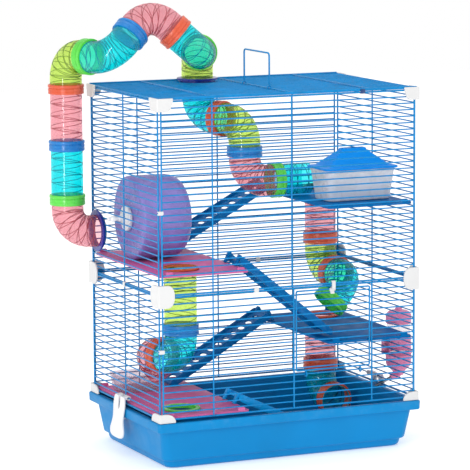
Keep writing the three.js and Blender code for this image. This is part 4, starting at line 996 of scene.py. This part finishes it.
def elbow_line(corner, into, out, leg_in, leg_out):
    """Centre line of an elbow: straight, quarter bend, straight."""
    r, first, last = ELBOW_R, leg_in - ELBOW_R, leg_out - ELBOW_R
    before, after = max(2, round(first / ELBOW_STEP)), max(2, round(last / ELBOW_STEP))
    centre = corner - into * r + out * r
    bend = round(r * pi / 2 / ELBOW_STEP)
    turned = [pi / 2 * i / bend for i in range(bend + 1)]
    return [
        *(corner - into * (leg_in - first * i / before) for i in range(before)),
        *(centre - out * (r * cos(a)) + into * (r * sin(a)) for a in turned),
        *(corner + out * (r + last * i / after) for i in range(1, after + 1)),
    ]


def skin(build, line, outer_material):
    """A tube wall with an outer and an inner face, closed by rounded ends."""
    normals, binormals, tangents = carried_frames(line)
    last = len(line) - 1

    def section(i, r, push=0.0):
        return ring_about(line[i] + tangents[i] * push, normals[i], binormals[i], r, TUBE_SIDES)

    edge = TUBE_EDGE
    outer = [section(0, TUBE_R - edge)]
    for i in range(last + 1):
        outer.append(section(i, TUBE_R, edge if i == 0 else -edge if i == last else 0))
    outer.append(section(last, TUBE_R - edge))
    inner = [section(i, BORE_R) for i in range(last, -1, -1)]
    build.grid(outer, outer_material)
    build.grid(inner, TUBE_INNER)
    build.grid([outer[-1], inner[0]], outer_material)
    build.grid([inner[-1], outer[0]], outer_material)


def helices(build, line, material, wind, stop=None):
    """Two raised moulded lines that wind round a tube in opposite directions."""
    pitch, start = wind
    normals, binormals, _ = carried_frames(line)
    length = [0.0]
    for a, b in zip(line, line[1:]):
        length.append(length[-1] + (b - a).length)
    stop = length[-1] - 1 if stop is None else stop
    count = max(2, round((stop - start) / pitch * LINE_POINTS))
    for hand in (-1, 1):
        points, i = [], 0
        for k in range(count + 1):
            s = start + (stop - start) * k / count
            while i < len(length) - 2 and length[i + 1] < s:
                i += 1
            t = (s - length[i]) / (length[i + 1] - length[i])
            n, b = normals[i].lerp(normals[i + 1], t), binormals[i].lerp(binormals[i + 1], t)
            a = 2 * pi * hand * s / pitch
            outwards = n * cos(a) + b * sin(a)
            points.append(line[i].lerp(line[i + 1], t) + outwards * (TUBE_R - LINE_SINK))
        build.rod(points, LINE_R, material, 5)


def tube(name, node, color, line, wind, stop=None):
    """A tube's wall and its moulded lines."""
    build = Build()
    skin(build, line, TUBE_WALLS[color])
    helices(build, line, TUBE_LINES[color], wind, stop)
    build.object(name + "_wall", "base", [node], TUBE_SLOTS[color])


def coupling(name, slot, at, axis, color, width=RING_WIDTH):
    """A clip ring: a broad band, a groove and a wide lip at its far side."""
    rim = Build()
    profile = [(RING_CORE, 0), *COUPLING, (28, width), (RING_CORE, width)]
    profile = [(r, width - min(h, width)) for r, h in reversed(profile)]
    rim.lathe(profile, at, axis, RINGS[color], RING_SIDES)
    rim.object(name + "_ring", "base", slot=slot)


def flange(build, at, axis, width, radius, material):
    lip = min(0.8, width / 3)
    profile = [(RING_CORE, 0), (radius - lip, 0), (radius, lip), (radius, width - lip),
               (radius - lip, width), (RING_CORE, width)]
    build.lathe(profile, at, axis, material, RING_SIDES)


def elbow(node, color, ring_color, corner, into, out, leg_in, leg_out, flanges=(), owner=None):
    """A bent tube with a ring at its far end, and flanges where it passes a wall."""
    name, slot = owner or node, TUBE_SLOTS[color]
    corner, into, out = Vector(corner), Vector(into).normalized(), Vector(out).normalized()
    line = elbow_line(corner, into, out, leg_in, leg_out)
    tube(name, node, color, line, ELBOW_WIND)
    if ring_color:
        coupling(name, slot, corner + out * (leg_out - 2 * RING_HALF), out, ring_color)
    if flanges:
        rim = Build()
        for axis, near, far, radius in flanges:
            flange(rim, corner + axis * near, axis, far - near, radius, RINGS["navy"])
        rim.object(name + "_flange", "base", slot=slot)


def straight(node, color, at, axis, length, ring_color=None, ring_at=None, disc=False):
    """A straight tube, with a ring towards its far end and an orange disc at its near end if asked."""
    slot, at = TUBE_SLOTS[color], Vector(at)
    count = max(2, round(length / STRAIGHT_STEP))
    line = [at + axis * (length * i / count) for i in range(count + 1)]
    tube(node, node, color, line, STRAIGHT_WIND, (ring_at or length) - 2)
    if ring_color:
        coupling(node, slot, at + axis * ring_at, axis, ring_color, min(RING_WIDTH, length - ring_at))
    if disc:
        rim = Build()
        flange(rim, at + axis * DISC_DROP, axis, DISC_T, DISC_R, RINGS["orange"])
        rim.object(node + "_top_disc", "base", slot=slot)


DISC_DROP, DISC_T, DISC_R = 0.6, 3.4, 30.5
FLANGE_R, COLLAR_R = 34, 28.4

# the outer run: up the left side, over in an arch and down through the roof
RISE_X, ARCH_Z = -278, 640
ELBOW_TOP, CYAN_BOTTOM, PINK_BOTTOM, ARCH_BOTTOM, ROOF_END = 413.5, 413.8, 502.1, 592.9, 578
yaw = radians(19.45)
pitch = atan(sqrt(cos(2 * yaw)))
flat, rise = cos(pitch), sin(pitch)
ways = [
    Vector((sin(yaw), -cos(yaw), 0)),
    Vector((flat * cos(yaw), flat * sin(yaw), rise)),
    Vector((flat * cos(yaw), -flat * sin(yaw), -rise)),
    Vector((sin(yaw), cos(yaw), 0)),
]
over = [Vector((RISE_X, OUTLET_Y, ARCH_Z))]
for direction in ways:
    over.append(over[-1] + direction * (2 * LEG))
above_roof = ARCH_Z - ROOF_Z
wall_flanges = [(X, 48.5, 52.3, FLANGE_R), (X, 52, 57, COLLAR_R)]
roof_flanges = [(-Z, above_roof - 8.6, above_roof - 5.2, FLANGE_R),
                (-Z, above_roof - 5.6, ARCH_Z - ROOF_END, COLLAR_R)]
elbow("tube_wall_elbow", "pink", "green", (RISE_X, OUTLET_Y, OUTLET_Z), -X, Z, 57, ELBOW_TOP - OUTLET_Z,
      wall_flanges)
straight("tube_rise_cyan", "cyan", (RISE_X, OUTLET_Y, CYAN_BOTTOM), Z, 88, "blue", 71)
straight("tube_rise_pink", "pink", (RISE_X, OUTLET_Y, PINK_BOTTOM), Z, 90.5, "orange", 75.5)
elbow("tube_over_1", "lime", "green", over[0], Z, ways[0], ARCH_Z - ARCH_BOTTOM, FULL)
for k, colors in enumerate((("cyan", "blue"), ("pink", "orange"), ("cyan", "green")), 1):
    elbow(f"tube_over_{k + 1}", *colors, over[k], ways[k - 1], ways[k], REST, FULL)
elbow("tube_over_5", "lime", None, over[4], ways[3], -Z, REST, ARCH_Z - ROOF_END, roof_flanges)

# the inner run: from the roof, forwards and down onto the upper right platform
DROP_Z, DROP_TOP, LAND_TOP = 529.5, 577.7, 58.8
APART, APART_LEFT = 104, 100  # between the corners of two joined elbows
drop = Vector((over[4].x, over[4].y, DROP_Z))
across = Vector((0.407, -0.914, 0)).normalized()
bend = drop + across * APART
land = Vector((bend.x, bend.y, Z_UP_RIGHT + 0.5 + TUBE_R))
elbow("tube_inner_1", "cyan", "orange", drop, -Z, across, DROP_TOP - DROP_Z, 60.5)
elbow("tube_inner_2", "lime", "blue", bend, across, -Z, 43.2, 58.5)
elbow("tube_inner_3", "pink", "green", land, -Z, X, DROP_Z - LAND_TOP - land.z, 63.5)
straight("tube_inner_end", "cyan", (land.x + 63.8, land.y, land.z), X, 50)

# the columns that hang from the platforms
TOP_STANDS = 4.4  # how far a column's top stands above its platform
RIGHT_Z, RIGHT_JOIN = 264.7, 306.5
FLOOR_Z, FLOOR_JOIN = 49.8, 91
LEFT_Z, LEFT_JOIN = 164.3, 204.6


def column(name, color, ring_color, side, platform_z, bottom, ring_at):
    """A straight tube that hangs through a platform's hole from an orange disc."""
    top = platform_z + TOP_STANDS
    place = (side * COLUMN_X, side * COLUMN_Y, top)
    straight(name, color, place, -Z, top - bottom, ring_color, ring_at, disc=True)


right = Vector((COLUMN_X, COLUMN_Y, RIGHT_Z))
right_way = Vector((0.052, -0.9986, 0)).normalized()
right_end = (right_way.y, -right_way.x, -1)
column("tube_right_straight", "pink", "orange", 1, Z_UP_RIGHT, RIGHT_JOIN, 79.9)
elbow("tube_right_elbow", "lime", "orange", right, -Z, right_way, 306.2 - RIGHT_Z, 60.5)
elbow("tube_right_outlet", "cyan", "green", right + right_way * APART, right_way, right_end, 43.2, 60.5)
column("tube_floor", "pink", "orange", 1, Z_MID_RIGHT, FLOOR_JOIN, 76)
elbow("tube_floor", "cyan", "orange", (COLUMN_X, COLUMN_Y, FLOOR_Z), -Z, -Y, 92 - FLOOR_Z, 60.5,
      owner="tube_floor_bend")

left = Vector((-COLUMN_X, -COLUMN_Y, LEFT_Z))
left_way = Vector((-0.225, 0.974, 0)).normalized()
left_end = (left_way.y, -left_way.x, -1)
column("tube_left_straight", "lime", "blue", -1, Z_UP_LEFT, LEFT_JOIN, 92)
elbow("tube_left_outlet", "cyan", "orange", left, -Z, left_way, 40, 58.5)
elbow("tube_left_outlet", "pink", None, left + left_way * APART_LEFT, left_way, left_end, 43, 50,
      owner="tube_left_end")

# ---- small clips on the walls

CLIP_T, CLIP_RISE, JAW_DEPTH, JAW_DROP, JAW_HALF, JAW_IN = 1.4, 0.8, 4.4, -1.5, 0.8, 0.9


def wall_clip(name, at, along, out, material, width, height):
    """A little moulded clip that pinches two wires together."""
    build = Build()
    m = basis(along, out.cross(along), out, at)
    outline = rounded(-width / 2, width / 2, -height / 2, height / 2, min(width, height) * 0.3, 4)
    build.plate(outline, CLIP_T, m @ raised(CLIP_RISE), material, 0.4)
    jaw = rounded(-width / 2, width / 2, -JAW_HALF, JAW_HALF, 0.6, 3)
    for end in (-1, 1):
        place = Matrix.Translation((0, end * (height / 2 - JAW_IN), JAW_DROP))
        build.plate(jaw, JAW_DEPTH, m @ place, material, 0.3)
    build.object(name, "base", slot="white")


CLIP_OUT = 0.4
front_y = -HALF_Y - CLIP_OUT
corner_at = (-FRONT_HALF_X - 1.2, -HALF_Y - 0.6)
wall_clip("corner_clip_high", (*corner_at, 410), X, -Y, WHITE, 9, 6)
wall_clip("corner_clip_low", (*corner_at, 191), X, -Y, WHITE, 9, 6)
wall_clip("rail_clip_front", (-60, front_y, Z_MID), X, -Y, WHITE, 8, 8)
wall_clip("rail_clip_back", (75, HALF_Y - RAIL_DEPTH - CLIP_OUT, Z_MID), X, -Y, WHITE, 8, 8)
wall_clip("rail_clip_left", (-HALF_X - CLIP_OUT, 0, Z_MID), Y, -X, WHITE, 8, 8)
wall_clip("rail_clip_right", (HALF_X + CLIP_OUT, 20, Z_MID), Y, X, CLIP_DARK, 8, 8)
wall_clip("roof_clip_front", (127, front_y, Z_TOP), X, -Y, CLIP_DARK, 8, 7)

# ---- floor, light and camera (metres)

FLOOR_HALF, FLOOR_DROP, FLOOR_GLOW = 6, 0.0004, 0.3
LIGHTS = (  # name, place, target, size, power
    ("key", (-2.19, -2.04, 0.8), (0, 0, 0.4), (0.3, 2.2), 36),
    ("fill", (1.9, -1.6, 1.0), (0, 0, 0.3), (1.4, 1.4), 4),
    ("top", (0.1, 0.2, 2.4), (0, 0, 0.3), (1.6, 1.6), 6),
)
CAMERA_AT, CAMERA_TARGET, CAMERA_ROLL = (-1.9444, -4.3165, 1.0220), (-0.0306, 0.0003, 0.3452), -0.3236
SENSOR, FOCAL_SHARE = 36, 2933.38 / 470  # the focal length as a share of the sensor's width


def aimed(name, data, at, target, roll=0.0):
    """A light or camera at a place, pointed at a target."""
    obj = placed(name, data)
    obj.location = at
    obj.rotation_mode = "QUATERNION"
    way = (Vector(target) - Vector(at)).to_track_quat("-Z", "Y")
    obj.rotation_quaternion = way @ Quaternion((0, 0, 1), radians(roll))
    return obj


def studio():
    mesh = bpy.data.meshes.new("studio_floor")
    side = FLOOR_HALF
    corners = [(-side, -side, 0), (side, -side, 0), (side, side, 0), (-side, side, 0)]
    mesh.from_pydata(corners, [], [(0, 1, 2, 3)])
    floor = placed("studio_floor", mesh)
    floor.location.z = -FLOOR_DROP
    n = Nodes("floor_pale")
    n.color(n.ramp(n.noise(3, 2), (0.90, 0.90, 0.90, 1), (0.94, 0.94, 0.94, 1)))
    fill(n.shader, Roughness=0.8, Emission_Color=(1, 1, 1, 1), Emission_Strength=FLOOR_GLOW)
    mesh.materials.append(n.material)

    world = bpy.data.worlds.new("studio")
    bpy.context.scene.world = world
    world.use_nodes = True
    background = world.node_tree.nodes["Background"]
    background.inputs[0].default_value = (1, 1, 1, 1)
    background.inputs[1].default_value = 1.0

    for name, at, target, size, power in LIGHTS:
        light = bpy.data.lights.new(name, "AREA")
        light.shape = "RECTANGLE"
        light.size, light.size_y, light.energy = *size, power
        aimed(name, light, at, target)


def camera():
    data = bpy.data.cameras.new("camera")
    data.sensor_width = SENSOR
    data.lens = FOCAL_SHARE * SENSOR
    data.clip_start, data.clip_end = 0.1, 50
    bpy.context.scene.camera = aimed("camera", data, CAMERA_AT, CAMERA_TARGET, CAMERA_ROLL)


studio()
camera()
bpy.context.scene.view_settings.view_transform = "Standard"
